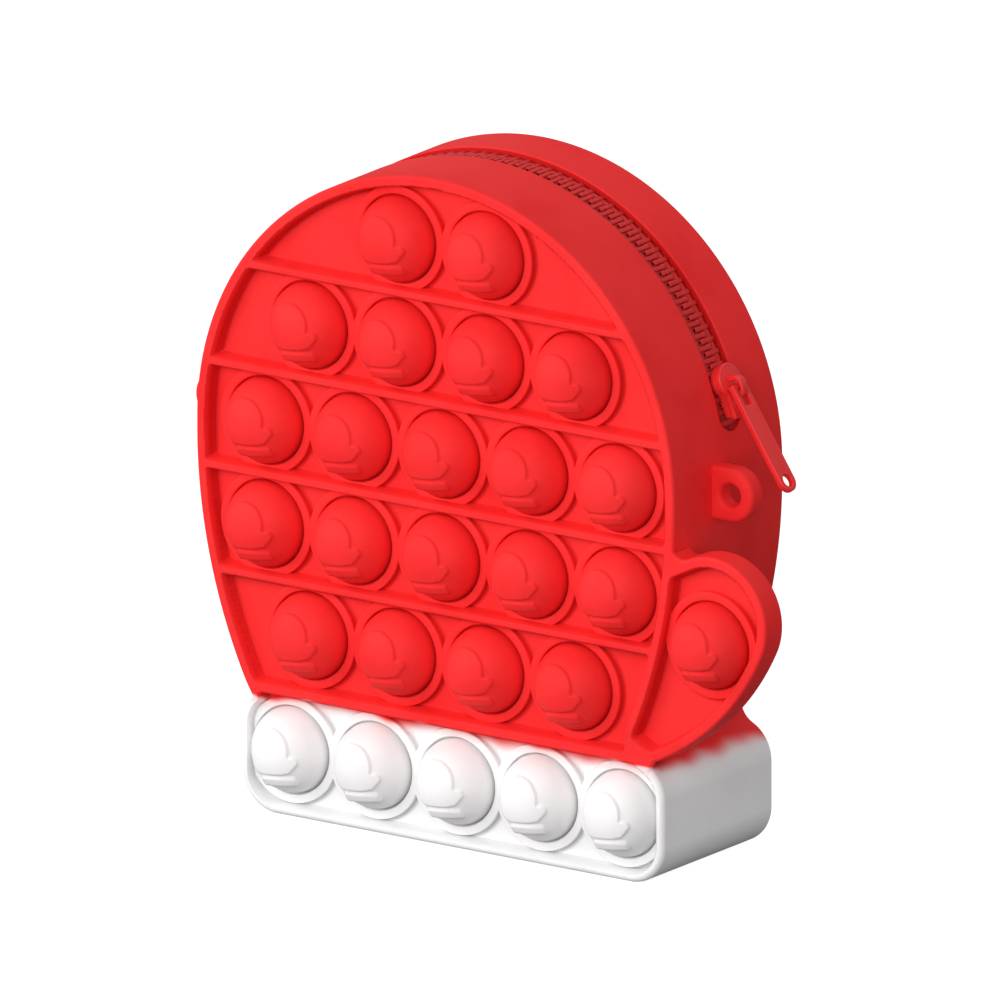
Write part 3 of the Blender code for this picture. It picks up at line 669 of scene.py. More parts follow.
def grow(mesh, verts, edges, points, depth, directions):
    """Extrude a chain to new places, point by point."""
    lean = lean_layer(mesh)
    fresh, edges = extruded(mesh, edges)
    row = []
    for vert in verts:
        row += [link.other_vert(vert) for link in vert.link_edges
                if link.other_vert(vert) in fresh]
    for vert, (x, z), y, way in zip(row, points, depth, directions):
        vert.co = (x, y, z)
        vert[lean] = way
    return row, edges


def slot_half(points):
    """Half the slot's width at each place of the wall, nought past its round ends."""
    turn = np.degrees(np.arctan2(points[:, 1] - BODY.y, points[:, 0] - BODY.x))
    past = np.maximum(0, SLOT_TURN - np.minimum(turn, 180 - turn)) * math.pi / 180 * BODY_R
    half = np.sqrt(np.maximum(0, SLOT_HALF ** 2 - past ** 2))
    return np.where(points[:, 1] > BODY.y, half, 0)


def wall_points(above):
    """Columns of the side wall above or below the seam, in order."""
    loop = bag_edge.points
    start = int(np.argmax((loop[:, 1] >= SEAM_Z) & (np.roll(loop[:, 1], 1) < SEAM_Z)))
    loop = np.roll(loop, -start, 0)
    last = int(np.sum(loop[:, 1] >= SEAM_Z))
    ends = []
    for inner, outer in ((loop[0], loop[-1]), (loop[last - 1], loop[last])):
        share = (SEAM_Z - inner[1]) / (outer[1] - inner[1])
        ends.append(inner + share * (outer - inner))
    if not above:
        return np.vstack((ends[1], loop[last:][::2], ends[0]))
    body = loop[:last]
    low_right = body[(body[:, 1] < BODY.y) & (body[:, 0] > 0)][::3]
    low_left = body[(body[:, 1] < BODY.y) & (body[:, 0] < 0)][::3]
    tip = SLOT_TURN - math.degrees(SLOT_HALF / BODY_R) * np.cos(np.radians(np.arange(0, 91, 6)))
    turns = np.unique(np.round(np.r_[np.linspace(0, 180, 271), tip, 180 - tip], 4))
    turns = np.radians(turns)
    top = np.column_stack((BODY.x + BODY_R * np.cos(turns), BODY.y + BODY_R * np.sin(turns)))
    return np.vstack((ends[0], low_right, top, low_left, ends[1]))


def plain_wall(points, out, start, end):
    """A wall along the depth between two rows of points."""
    flat = [(x, 0, z) for x, z in out]
    mesh, verts, edges = chain(points, start, flat)
    return mesh, *grow(mesh, verts, edges, points, end, flat)


def lipped_wall(points, out, start, end, lip):
    """A wall along the depth whose end turns inwards along a quarter circle."""
    towards = np.sign(end - start)
    mesh, verts, edges = plain_wall(points, out, start, end - towards * lip)
    for turn in np.radians((30, 60, 90)):
        inward = points - (lip * (1 - math.cos(turn)))[:, None] * out
        turns = np.where(lip > 0, turn, 0)
        ways = [(x * math.cos(bend), side * math.sin(bend), z * math.cos(bend))
                for (x, z), side, bend in zip(out, towards, turns)]
        verts, edges = grow(mesh, verts, edges, inward,
                            end - towards * lip * (1 - math.sin(turn)), ways)
    return mesh, verts, edges


def slot_wall(points, start, end, lip):
    """A wall that ends in a lip and runs on inwards to the inner side."""
    out = bag_edge.look(points)[1]
    mesh, verts, edges = lipped_wall(points, out, start, end, lip)
    facing = [(0, side, 0) for side in np.sign(end - start)]
    grow(mesh, verts, edges, points - WALL * out, end, facing)
    lean = lean_layer(mesh)
    # Painted shade on the lip and the inner side of the slot, where the points face along the
    # depth.
    paint_shade(mesh, [abs(vert[lean].y) > 0.9 for vert in mesh.verts])
    bmesh.ops.remove_doubles(mesh, verts=mesh.verts, dist=0.0005 * MM)
    return mesh


red_columns = wall_points(True)
half = slot_half(red_columns)
lip = LIP * np.clip(half / (2 * MM), 0, 1)
start = np.where(front_edge.look(red_columns)[0] < -2 * MM, Y_FLOOR + 0.3 * MM,
                 Y_FRONT + edge_radius(red_columns[:, 1]))
front_wall = slot_wall(red_columns, start, Y_ZIP - half, lip)
back_wall = slot_wall(red_columns, np.full(len(half), Y_BACK - BACK_ROUND), Y_ZIP + half, lip)
cuff_columns = wall_points(False)
cuff_wall = plain_wall(cuff_columns, bag_edge.look(cuff_columns)[1],
                       Y_FRONT + edge_radius(cuff_columns[:, 1]),
                       np.full(len(cuff_columns), Y_BACK - BACK_ROUND))[0]
print("wall columns:", len(red_columns), "red,", len(cuff_columns), "white")

# %% The back sheet, with a soft low border
back = cut_sheet(bag_edge, BACK_ROUND, 0.55 * MM)
lean_layer(back)
places = spots(back)
step = 0.5 * MM * smooth((-bag_edge.look(places)[0] - 2.6 * MM) / (1.6 * MM))
place_at(back, places, Y_BACK - step)
bmesh.ops.reverse_faces(back, faces=back.faces)
rounded_border(back, bag_edge, Y_BACK, -1, lambda heights: np.full(len(heights), BACK_ROUND))
print("back sheet:", len(back.faces), "faces")

# %% The thumb's skirt and the hollow behind it
edge = beyond(thumb_edge(0), SIDE_R)[::2]
skirt = lipped_wall(edge, front_edge.look(edge)[1], Y_FRONT + edge_radius(edge[:, 1]),
                    np.full(len(edge), THUMB_BACK), np.full(len(edge), LIP))[0]


def closed_loop(mesh, points, y):
    """A closed row of points joined by edges."""
    verts = [mesh.verts.new((x, y, z)) for x, z in points]
    return [mesh.edges.new(pair) for pair in zip(verts, verts[1:] + verts[:1])]


def extrude_to(mesh, edges, y):
    """Extrude edges along the depth and give back the new row."""
    fresh, row = extruded(mesh, edges)
    for vert in fresh:
        vert.co.y = y
    return row


def thumb_region(inset, setoff, foot):
    """The outline of the thumb, drawn in from its free edge and set off from the body."""
    radius = SIDE_R + setoff
    start = crossing(right_side, radius, valley, VALLEY_R + inset, -1)
    free = beyond(thumb_edge(inset), radius)
    side = arc(right_side, radius, heading(right_side, free[-1]), heading(right_side, start))
    loop = np.vstack((free, side[1:-1]))
    return cut_at(loop, foot, True)[::3]


hollow = bmesh.new()
outer = closed_loop(hollow, thumb_region(LIP, 0, 20 * MM), THUMB_BACK)
inner = closed_loop(hollow, thumb_region(WALL, 0.3 * MM, POCKET_Z + MM), THUMB_BACK)
bmesh.ops.bridge_loops(hollow, edges=outer + inner)
inner = extrude_to(hollow, inner, Y_INSIDE)
ring = closed_loop(hollow, arc(THUMB_BUBBLE, HOLE, 0, 360)[:-1][::3], Y_INSIDE)
bmesh.ops.triangle_fill(hollow, use_beauty=True, edges=inner + ring)
extrude_to(hollow, ring, Y_FLOOR)
bmesh.ops.recalc_face_normals(hollow, faces=hollow.faces)
print("thumb:", len(skirt.faces) + len(hollow.faces), "faces")

# %% [markdown]
# ## The three casings
# Red and white are moulded in two shots and meet in one plane. The sheets were made whole,
# so that the surface runs on across the seam, and are now parted in that plane.

# %% Part the sheets at the seam and join up the casings


def part_of(mesh, above):
    """A copy of the mesh on one side of the seam."""
    piece = mesh.copy()
    cut_off(piece, (0, 0, SEAM_Z), (0, 0, -1 if above else 1))
    return piece


def outwards(mesh):
    """Turn faces so that each agrees with the shading directions of its points."""
    lean = lean_layer(mesh)
    mesh.normal_update()
    wrong = []
    for face in mesh.faces:
        way = sum((vert[lean] for vert in face.verts), Vector())
        if way.length > 0.1 and face.normal.dot(way) < 0:
            wrong.append(face)
    bmesh.ops.reverse_faces(mesh, faces=wrong)


def take_over(piece, body, slot, *nodes):
    """Put a piece in place of its nodes, on their body; the slot is not used."""
    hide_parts(*nodes)
    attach(piece, body)


def casing(name, slot, nodes, parts):
    """One casing from its sheets and walls."""
    mesh = bmesh.new()
    lean_layer(mesh)
    paint_shade(mesh, [])
    for part in parts:
        join_into(mesh, part)
    outwards(mesh)
    piece = new_object(name, mesh)
    take_over(piece, "pouch", slot, *nodes)
    return piece


front_casing = casing("front_casing", "red_silicone", ["front_shell", "front_wall"],
                      [part_of(front, True), front_wall, skirt, hollow, *collars_of(False)])
back_casing = casing("back_casing", "red_silicone", ["back_shell"],
                     [part_of(back, True), back_wall])
cuff_casing = casing("cuff_casing", "white_silicone", ["cuff_shell"],
                     [part_of(front, False), cuff_wall, part_of(back, False),
                      *collars_of(True)])
for mesh in (front, back, collar):
    mesh.free()

# %% [markdown]
# ## Push bubbles
# A bubble is a thin dome that snaps through its hole. Its section is spun into a closed
# shell. A small mitten stands up from each dome, made by lifting the points inside its
# outline.

# %% The raised mitten on a dome


def capsule(u, v, start, end, radius):
    """Distance from a bar with round ends."""
    way = np.array(end) - np.array(start)
    share = ((u - start[0]) * way[0] + (v - start[1]) * way[1]) / (way @ way)
    share = np.clip(share, 0, 1)
    return np.hypot(u - start[0] - share * way[0], v - start[1] - share * way[1]) - radius


def rounded_bar(u, v, centre, half_wide, half_high, radius):
    """Distance from a bar with rounded corners."""
    over_u = np.abs(u - centre[0]) - half_wide + radius
    over_v = np.abs(v - centre[1]) - half_high + radius
    return (np.hypot(np.maximum(over_u, 0), np.maximum(over_v, 0))
            + np.minimum(np.maximum(over_u, over_v), 0) - radius)


def mitten(u, v):
    """Distance in millimetres from the edge of the raised mitten, inside negative."""
    tilt = math.radians(6)
    u, v = u * math.cos(tilt) + v * math.sin(tilt), v * math.cos(tilt) - u * math.sin(tilt)
    fingers = np.hypot(u + 0.9, v - 1.3) - 5.2
    palm = np.minimum(fingers, rounded_bar(u, v, (-0.9, -1.1), 5.1, 3.1, 2.4))
    thumb = capsule(u, v, (3.5, -2.7), (5.0, -1.15), 1.15)
    hand = -0.12 * np.log(np.exp(-palm / 0.12) + np.exp(-thumb / 0.12))
    band = rounded_bar(u, v, (0.1, -6.0), 4.6, 1.0, 0.5)
    return np.minimum(hand, band)


print("mitten centre:", round(float(mitten(np.array(0.0), np.array(1.0))), 2), "mm inside")

# %% Turn one dome and copy it
DOME_SIDES = 112
DOME_RINGS = 54
DOME_FOOT = 1.5 * MM
SKIN = 1.2 * MM
RAISED = 0.32 * MM


def dome_depth(x, z):
    """Depth of the plain dome at a place."""
    return -DOME * math.sqrt(max(0, 1 - (x * x + z * z) / BUBBLE ** 2))


def spun_dome():
    """A dome about the Y axis, its edge at depth nought and its crown at -DOME."""
    mesh = bmesh.new()
    line = [(BUBBLE * math.sin(turn), -DOME * math.cos(turn))
            for turn in np.linspace(0, math.pi / 2, DOME_RINGS + 1)]
    line += [(HOLE - 0.02 * MM, 0.02 * MM), (HOLE - 0.02 * MM, DOME_FOOT),
             (BUBBLE - SKIN, DOME_FOOT)]
    line += [((BUBBLE - SKIN) * math.sin(turn), -(DOME - SKIN) * math.cos(turn))
             for turn in np.linspace(math.pi / 2, 0, 10)]
    verts = [mesh.verts.new((x, y, 0)) for x, y in line]
    edges = [mesh.edges.new(pair) for pair in zip(verts, verts[1:])]
    bmesh.ops.spin(mesh, geom=verts + edges, cent=(0, 0, 0), axis=(0, 1, 0),
                   angle=math.tau, steps=DOME_SIDES, use_merge=True)
    bmesh.ops.remove_doubles(mesh, verts=mesh.verts, dist=0.001 * MM)
    bmesh.ops.recalc_face_normals(mesh, faces=mesh.faces)
    return mesh


def raise_mitten(mesh):
    """Lift the points of a dome that lie inside the mitten's outline."""
    outer = [vert for vert in mesh.verts if vert.co.y < -0.2 * MM
             and vert.co.y < dome_depth(vert.co.x, vert.co.z) + 0.2 * MM]
    places = np.array([vert.co.xz for vert in outer]) / MM
    step = 0.02
    for _ in range(3):
        off = mitten(*places.T)
        slope = np.column_stack([(mitten(*(places + nudge).T) - off) / step
                                 for nudge in ((step, 0), (0, step))])
        move = np.where(off > 0, 0.13, -0.13) - off
        move = np.where(np.abs(off) < 0.3, np.clip(move, -0.1, 0.1), 0)
        places = places + move[:, None] * slope
    below = np.array([dome_depth(x * MM, z * MM) for x, z in places]) - dome_depth(0, 0)
    lift = smooth((0.12 - mitten(*places.T)) / 0.24) * (RAISED + 0.12 * below)
    for vert, (x, z), rise in zip(outer, places * MM, lift):
        depth = dome_depth(x, z)
        out = Vector((x / BUBBLE ** 2, depth / DOME ** 2, z / BUBBLE ** 2)).normalized()
        vert.co = Vector((x, depth, z)) + out * float(rise)


dome = spun_dome()
raise_mitten(dome)
# Painted shade near the dome's foot, stronger towards the lower right, away from the light.
ways = np.array([vert.co.xz / BUBBLE for vert in dome.verts])
low = np.array([1 - smooth(-vert.co.y / (3.6 * MM)) for vert in dome.verts])
paint_shade(dome, low * (0.35 + 0.65 * shaded(ways)))
print("dome:", len(dome.faces), "faces, crown at", round(min(v.co.y for v in dome.verts) / MM, 2))
domes = {}
for name, (x, z) in bubbles.items():
    mesh = dome.copy()
    bmesh.ops.translate(mesh, verts=mesh.verts, vec=(x, Y_FLOOR, z))
    domes[name] = new_object(name.replace("bubble", "dome"), mesh)
    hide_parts(name)
    "white_silicone" if "cuff" in name else "red_silicone"
    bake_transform(domes[name])
dome.free()

# %% [markdown]
# ## Zip
# Each tape is a woven strip glued inside the wall. Its section is spun about the middle of
# the round top, and a UV map laid along it lets the weave follow the curve. A tooth is
# a small moulded bar with softened edges. One is made and then copied round, the two rows
# half a pitch apart so that they mesh over the middle.

# %% Tapes and cords, spun round the top
TOOTH_END = 3.85 * MM
GAP = 0.3 * MM
TAPE_TOP = BODY_R - WALL - GAP
TOOTH_FOOT = TAPE_TOP + GAP
TOOTH_TOP = TOOTH_FOOT + 1.15 * MM
TAPE_END = 8.6


def spun_strip(section, start, end, steps):
    """A closed strip from a section of (out, depth) points, spun between two angles."""
    mesh = bmesh.new()
    turn = math.radians(start)
    verts = [mesh.verts.new((BODY.x + out * math.cos(turn), y, BODY.y + out * math.sin(turn)))
             for out, y in section]
    edges = [mesh.edges.new(pair) for pair in zip(verts, verts[1:] + verts[:1])]
    bmesh.ops.spin(mesh, geom=verts + edges, cent=(BODY.x, 0, BODY.y), axis=(0, -1, 0),
                   angle=math.radians(end - start), steps=steps)
    bmesh.ops.holes_fill(mesh, edges=[edge for edge in mesh.edges if edge.is_boundary])
    bmesh.ops.recalc_face_normals(mesh, faces=mesh.faces)
    along = mesh.loops.layers.uv.new("along")
    for face in mesh.faces:
        for loop in face.loops:
            x, y, z = loop.vert.co
            angle = math.atan2(z - BODY.y, x - BODY.x)
            loop[along].uv = (angle * TAPE_TOP / MM, (y - Y_ZIP) / MM)
    return mesh


def tape_section(near, far):
    """A thin woven band with rounded edges, with a thick bead under the teeth."""
    across = np.linspace(near, far, 17)
    middle = TAPE_TOP - GAP
    thick = 0.28 * MM * np.sqrt(np.clip(1.02 - np.linspace(-1, 1, 17) ** 6, 0, 1))
    bead = 0.85 * MM * smooth((4.3 * MM - np.abs(across - Y_ZIP)) / (0.6 * MM))
    top = [(middle + up + more, y) for up, more, y in zip(thick, bead, across)]
    return top + [(middle - up, y) for up, y in zip(thick[::-1], across[::-1])]


for name, side in (("zip_tape_front", -1), ("zip_tape_back", 1)):
    section = tape_section(Y_ZIP + side * 0.03 * MM, Y_ZIP + side * 7.4 * MM)
    tape = new_object(name.replace("zip_", ""),
                      spun_strip(section, TAPE_END, 180 - TAPE_END, 180))
    take_over(tape, "pouch", "zip_tape", name)

# %% Teeth, copied round the top
TOOTH_PITCH = math.degrees(3.1 * MM / TOOTH_TOP)
TOOTH_COUNT = 57
FIRST_TOOTH = 90 - TOOTH_PITCH * TOOTH_COUNT / 2
OVERLAP = 1.5 * MM
CORD_R = 0.42 * MM


def softened_block(size, offset):
    """A block with rounded edges."""
    mesh = bmesh.new()
    bmesh.ops.create_cube(mesh, size=1)
    bmesh.ops.scale(mesh, verts=mesh.verts, vec=size)
    bmesh.ops.bevel(mesh, geom=mesh.edges, offset=offset, segments=2, profile=0.5,
                    affect='EDGES', material=-1)
    return mesh


def tooth(side):
    """A tooth at the top of the arc: a bar with a thicker head past the middle."""
    long = TOOTH_END - 0.1 * MM + OVERLAP
    bar = softened_block((1.15 * MM, long, 1.0 * MM), 0.22 * MM)
    head = softened_block((1.3 * MM, 1.7 * MM, 1.25 * MM), 0.3 * MM)
    bmesh.ops.translate(head, verts=head.verts, vec=(0, -side * (long / 2 - 0.85 * MM), 0))
    join_into(bar, head)
    shift = (BODY.x, Y_ZIP + side * (long / 2 - OVERLAP), BODY.y + TOOTH_TOP - 0.5 * MM)
    bmesh.ops.translate(bar, verts=bar.verts, vec=shift)
    single = bpy.data.meshes.new("tooth")
    bar.to_mesh(single)
    bar.free()
    return single


def cord_section(side):
    """The round cord that holds a row of teeth."""
    return [(TOOTH_FOOT + CORD_R + CORD_R * math.sin(turn),
             Y_ZIP + side * (2.9 * MM + 0.85 * MM * math.cos(turn)))
            for turn in np.linspace(0, math.tau, 12, endpoint=False)]


for name, side, offset in (("zip_teeth_front", -1, 0), ("zip_teeth_back", 1, 0.5)):
    single = tooth(side)
    low = FIRST_TOOTH + TOOTH_PITCH * (offset - 0.5)
    high = FIRST_TOOTH + TOOTH_PITCH * (TOOTH_COUNT + 0.5 - offset)
    row = spun_strip(cord_section(side), low, high, 150)
    for index in range(TOOTH_COUNT + (side < 0)):
        before = len(row.verts)
        row.from_mesh(single)
        row.verts.ensure_lookup_table()
        turn = 90 - FIRST_TOOTH - TOOTH_PITCH * (index + offset)
        bmesh.ops.rotate(row, verts=row.verts[before:], cent=(BODY.x, 0, BODY.y),
                         matrix=Matrix.Rotation(math.radians(turn), 3, 'Y'))
    take_over(new_object(name.replace("zip_", ""), row), "pouch", "zip_teeth", name)
    bpy.data.meshes.remove(single)

# %% The two stops
for name in ("zip_top_stop", "zip_bottom_stop"):
    low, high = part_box(name)
    middle = (low + high) / 2
    turn = math.atan2(middle.x - BODY.x, middle.z - BODY.y)
    stop = softened_block((1.5 * MM, high.y - low.y, 1.1 * MM), 0.3 * MM)
    bmesh.ops.rotate(stop, verts=stop.verts, cent=(0, 0, 0),
                     matrix=Matrix.Rotation(turn, 3, 'Y'))
    bmesh.ops.translate(stop, verts=stop.verts, vec=middle)
    take_over(new_object(name.replace("zip_", ""), stop), "pouch", "zip_teeth", name)

# %% [markdown]
# ## Slider, pull and lugs
# These are flat shapes with holes. An outline with its holes is filled, extruded to a plate,
# and its sharp edges are bevelled, as tumbling rounds a small casting. Each plate is made
# flat about its own hinge or middle, and then turned to where the solid is.

# %% Plates with holes


def plate(loops, low, high, bevel, steps=3):
    """A flat plate with holes and rounded edges, its thickness along Z."""
    mesh = bmesh.new()
    edges = []
    for loop in loops:
        verts = [mesh.verts.new((x, y, low)) for x, y in loop]
        edges += [mesh.edges.new(pair) for pair in zip(verts, verts[1:] + verts[:1])]
    bmesh.ops.triangle_fill(mesh, use_beauty=True, edges=edges, normal=(0, 0, 1))
    grown = bmesh.ops.extrude_face_region(mesh, geom=mesh.faces[:])["geom"]
    for vert in of_kind(grown, bmesh.types.BMVert):
        vert.co.z = high
    bmesh.ops.recalc_face_normals(mesh, faces=mesh.faces)
    bmesh.ops.dissolve_limit(mesh, angle_limit=0.002, verts=mesh.verts, edges=mesh.edges)
    sharp = [edge for edge in mesh.edges
             if len(edge.link_faces) == 2 and edge.calc_face_angle() > 1]
    bmesh.ops.bevel(mesh, geom=sharp, offset=bevel, segments=steps, profile=0.5,
                    affect='EDGES', material=-1)
    return mesh


def finished(name, mesh, matrix, node, body, slot):
    """Put a piece where its node is, in place of it."""
    bmesh.ops.transform(mesh, matrix=matrix, verts=mesh.verts)
    take_over(new_object(name, mesh), body, slot, node)


SLIDER_TURN = 69.9
PULL_TURN = 56.5
HINGE_X = 1.9
carrier = (Matrix.Translation((BODY.x, Y_ZIP, BODY.y))
           @ Matrix.Rotation(math.radians(SLIDER_TURN), 4, 'Y'))
hinge = (carrier @ Matrix.Translation((HINGE_X * MM, 0, 71.56 * MM))
         @ Matrix.Rotation(math.radians(PULL_TURN - SLIDER_TURN), 4, 'Y'))

# %% The slider with its bail
HEAD_R, TAIL_HALF, TAIL_END, CORNER = 4.15, 2.3, 8.5, 0.6
flank = math.degrees(math.asin(TAIL_HALF / HEAD_R))


def slider_plan(inset):
    """Round head and narrow tail, drawn in by an inset in millimetres."""
    end, side = TAIL_END - inset, TAIL_HALF - inset - CORNER
    return (round_part((0, 0), HEAD_R - inset, flank + 3, 357 - flank, 40)
            + round_part((end, -side), CORNER, -90, 0, 4)
            + round_part((end, side), CORNER, 0, 90, 4))


slider = plate([slider_plan(0.0)], 68.75 * MM, 70.3 * MM, 0.5 * MM, 4)
join_into(slider, plate([slider_plan(0.45)], 67.05 * MM, 68.9 * MM, 0.12 * MM, 2))
join_into(slider, plate([slider_plan(1.1)], 70.2 * MM, 70.4 * MM, 0.1 * MM))
bail_plan = [(-2.75, 70.1), (-1.65, 70.1), (-1.65, 72.0), (-0.8, 72.82), (0.8, 72.82),
             (1.65, 72.0), (1.65, 70.1), (2.75, 70.1), (2.75, 72.4), (1.5, 73.62),
             (-1.5, 73.62), (-2.75, 72.4)]
bail_plan = [(MM * (x + HINGE_X), MM * z) for x, z in bail_plan]
bail = plate([bail_plan], -1.1 * MM, 1.1 * MM, 0.3 * MM)
stand_up(bail)
join_into(slider, bail)
finished("slider", slider, carrier, "slider_top_wing", "slider", "slider_metal")
wing = plate([slider_plan(0.2)], 63.4 * MM, 64.45 * MM, 0.3 * MM)
finished("slider_inner_wing", wing, carrier, "slider_bottom_wing", "slider", "slider_metal")

# %% The pull tab
PULL_LENGTH, PULL_HALF = 27.5, 2.75
end = PULL_LENGTH - PULL_HALF
tab = round_part((end, 0), PULL_HALF, -90, 90, 24)
for place, start in (((-0.2, 2.35), 90), ((-0.2, -2.35), 180)):
    tab += round_part(place, 0.4, start, start + 90, 3)
window = []
for place, start in (((4.5, 1), 0), ((1, 1), 90), ((1, -1), 180), ((4.5, -1), 270)):
    window += round_part(place, 0.4, start, start + 90, 3)
hole = round_part((end, 0), 1.5, 0, 345, 23)
pull = plate([tab, window, hole], -0.75 * MM, 0.75 * MM, 0.28 * MM)
finished("pull", pull, hinge, "pull_tab", "pull", "slider_metal")

# %% The strap lugs
lug_plan = round_part((0, 0), 6.5, -90, 90, 36) + [(-6.2 * MM, 6.5 * MM), (-6.2 * MM, -6.5 * MM)]
lug_hole = round_part((0, 0), 2.7, 0, 350, 35)
for node, x, side in (("strap_lug_right", 71.9, 1), ("strap_lug_left", -73.3, -1)):
    lug = plate([lug_plan, lug_hole], 1.8 * MM, 6.9 * MM, 1.2 * MM, 5)
    stand_up(lug)
    bmesh.ops.scale(lug, verts=lug.verts, vec=(side, 1, 1))
    bmesh.ops.recalc_face_normals(lug, faces=lug.faces)
    finished(node.replace("strap_", ""), lug, Matrix.Translation((x * MM, 0, 92.55 * MM)),
             node, "pouch", "red_silicone")

# %% [markdown]
# ## Finishes
# Silicone is satin: its colour is deep and even, with a fine grain from the mould and a
# faint cloudiness, and it takes dust and small rubs. A finish here is a set of nodes that
# is written as sums. The class below wraps a node's output, so that a sum on values
# adds its own nodes.

# %% Sums on node outputs


class Value:
    """A number from a node, which can be added, multiplied and compared."""

    def __init__(self, finish, socket):
        self.finish = finish
        self.socket = socket

    def with_(self, operation, *others, clamp=False):
        """A Math node with these numbers in its sockets."""
        return self.finish.node('ShaderNodeMath', {'operation': operation, 'use_clamp': clamp},
                                *others)

    def __add__(self, other):
        return self.with_('ADD', self, other)

    def __sub__(self, other):
        return self.with_('SUBTRACT', self, other)

    def __mul__(self, other):
        return self.with_('MULTIPLY', self, other)

    def __truediv__(self, other):
        return self.with_('DIVIDE', self, other)

    def __radd__(self, other):
        return self.with_('ADD', other, self)

    def __rsub__(self, other):
        return self.with_('SUBTRACT', other, self)

    def __rmul__(self, other):
        return self.with_('MULTIPLY', other, self)

    def __rtruediv__(self, other):
        return self.with_('DIVIDE', other, self)

    def kept(self):
        """The same number held between 0 and 1."""
        return self.with_('ADD', self, 0, clamp=True)


class Finish:
    """A material made of nodes, with its principled shader ready."""

    def __init__(self, name, **fixed):
        self.material = bpy.data.materials.new(name)
        self.material.use_nodes = True
        self.nodes = self.material.node_tree.nodes
        self.links = self.material.node_tree.links
        self.shader = self.nodes["Principled BSDF"]
        self.place = self.node('ShaderNodeTexCoord', output='Object')
        for socket, value in fixed.items():
            self.shader.inputs[socket.replace("_", " ")].default_value = value

    def node(self, kind, settings=None, *inputs, output=0, **named):
        """Any node: its settings first, then the values or links of its sockets."""
        node = self.nodes.new(kind)
        for key, value in (settings or {}).items():
            setattr(node, key, value)
        for index, value in enumerate(inputs):
            self.feed(node.inputs[index], value)
        for key, value in named.items():
            self.feed(node.inputs[key.replace("_", " ")], value)
        return Value(self, node.outputs[output])

    def feed(self, socket, value):
        """Link a value to a socket, or set the socket's own number or colour."""
        if isinstance(value, Value):
            self.links.new(value.socket, socket)
        else:
            socket.default_value = value

    def noise(self, size, detail=2, rough=0.5, place=None):
        """Soft noise whose spots are about that many metres wide."""
        return self.node('ShaderNodeTexNoise', {}, Vector=place or self.place,
                         Scale=1 / size, Detail=detail, Roughness=rough)

    def mix(self, factor, first, second):
        """A colour between two colours, which a Mix node takes in its sockets 6 and 7."""
        mixed = self.node('ShaderNodeMix', {'data_type': 'RGBA'}, factor, output=2)
        for index, value in ((6, first), (7, second)):
            self.feed(mixed.socket.node.inputs[index], value)
        return mixed

    def step(self, value, low, high):
        """From 0 to 1 while the value goes from low to high."""
        return self.node('ShaderNodeMapRange', {'interpolation_type': 'SMOOTHSTEP'},
                         Value=value, From_Min=low, From_Max=high)

    def parts(self, vector):
        """The x, y and z of a place."""
        split = self.node('ShaderNodeSeparateXYZ', {}, vector)
        return [Value(self, socket) for socket in split.socket.node.outputs]

    def bump(self, height, distance, strength=1.0):
        """Raise the surface by a height times a distance in metres."""
        normal = self.node('ShaderNodeBump', {}, Strength=strength, Distance=distance,
                           Height=height, output='Normal')
        self.feed(self.shader.inputs['Normal'], normal)

    def paint(self, colour=None, roughness=None, metallic=None):
        """Feed the shader's colour, roughness and metallic sockets."""
        for name, value in (('Base Color', colour), ('Roughness', roughness),
                            ('Metallic', metallic)):
            if value is not None:
                self.feed(self.shader.inputs[name], value)

    def on(self, *pieces):
        """Give the finish to these pieces."""
        for piece in pieces:
            piece.data.materials.clear()
            piece.data.materials.append(self.material)


def rgb(*numbers):
    """A colour from a picture's numbers, 0 to 255, as the light it stands for."""
    shares = [number / 255 for number in numbers]
    return (*(share / 12.92 if share <= 0.04045 else ((share + 0.055) / 1.055) ** 2.4
              for share in shares), 1)


print("red as light:", [round(part, 3) for part in rgb(253, 50, 50)])

# %% [markdown]
# ### Red and white silicone
# The two colours are poured in turn, so their border is not drawn with a ruler: it wanders
# by half a millimetre, and a little red bleeds into the white as a pink haze. Both casings
# share one recipe that picks the colour by height, so the border runs on across the seam.

# %% Silicone
RED = rgb(252, 49, 50)
DEEP_RED = rgb(244, 40, 42)
WHITE = rgb(252, 252, 252)
GREY_WHITE = rgb(245, 244, 244)
HAZE = rgb(252, 196, 196)
PAINTED_SHADE_RED = rgb(190, 16, 17)
PAINTED_SHADE_GREY = rgb(172, 172, 172)


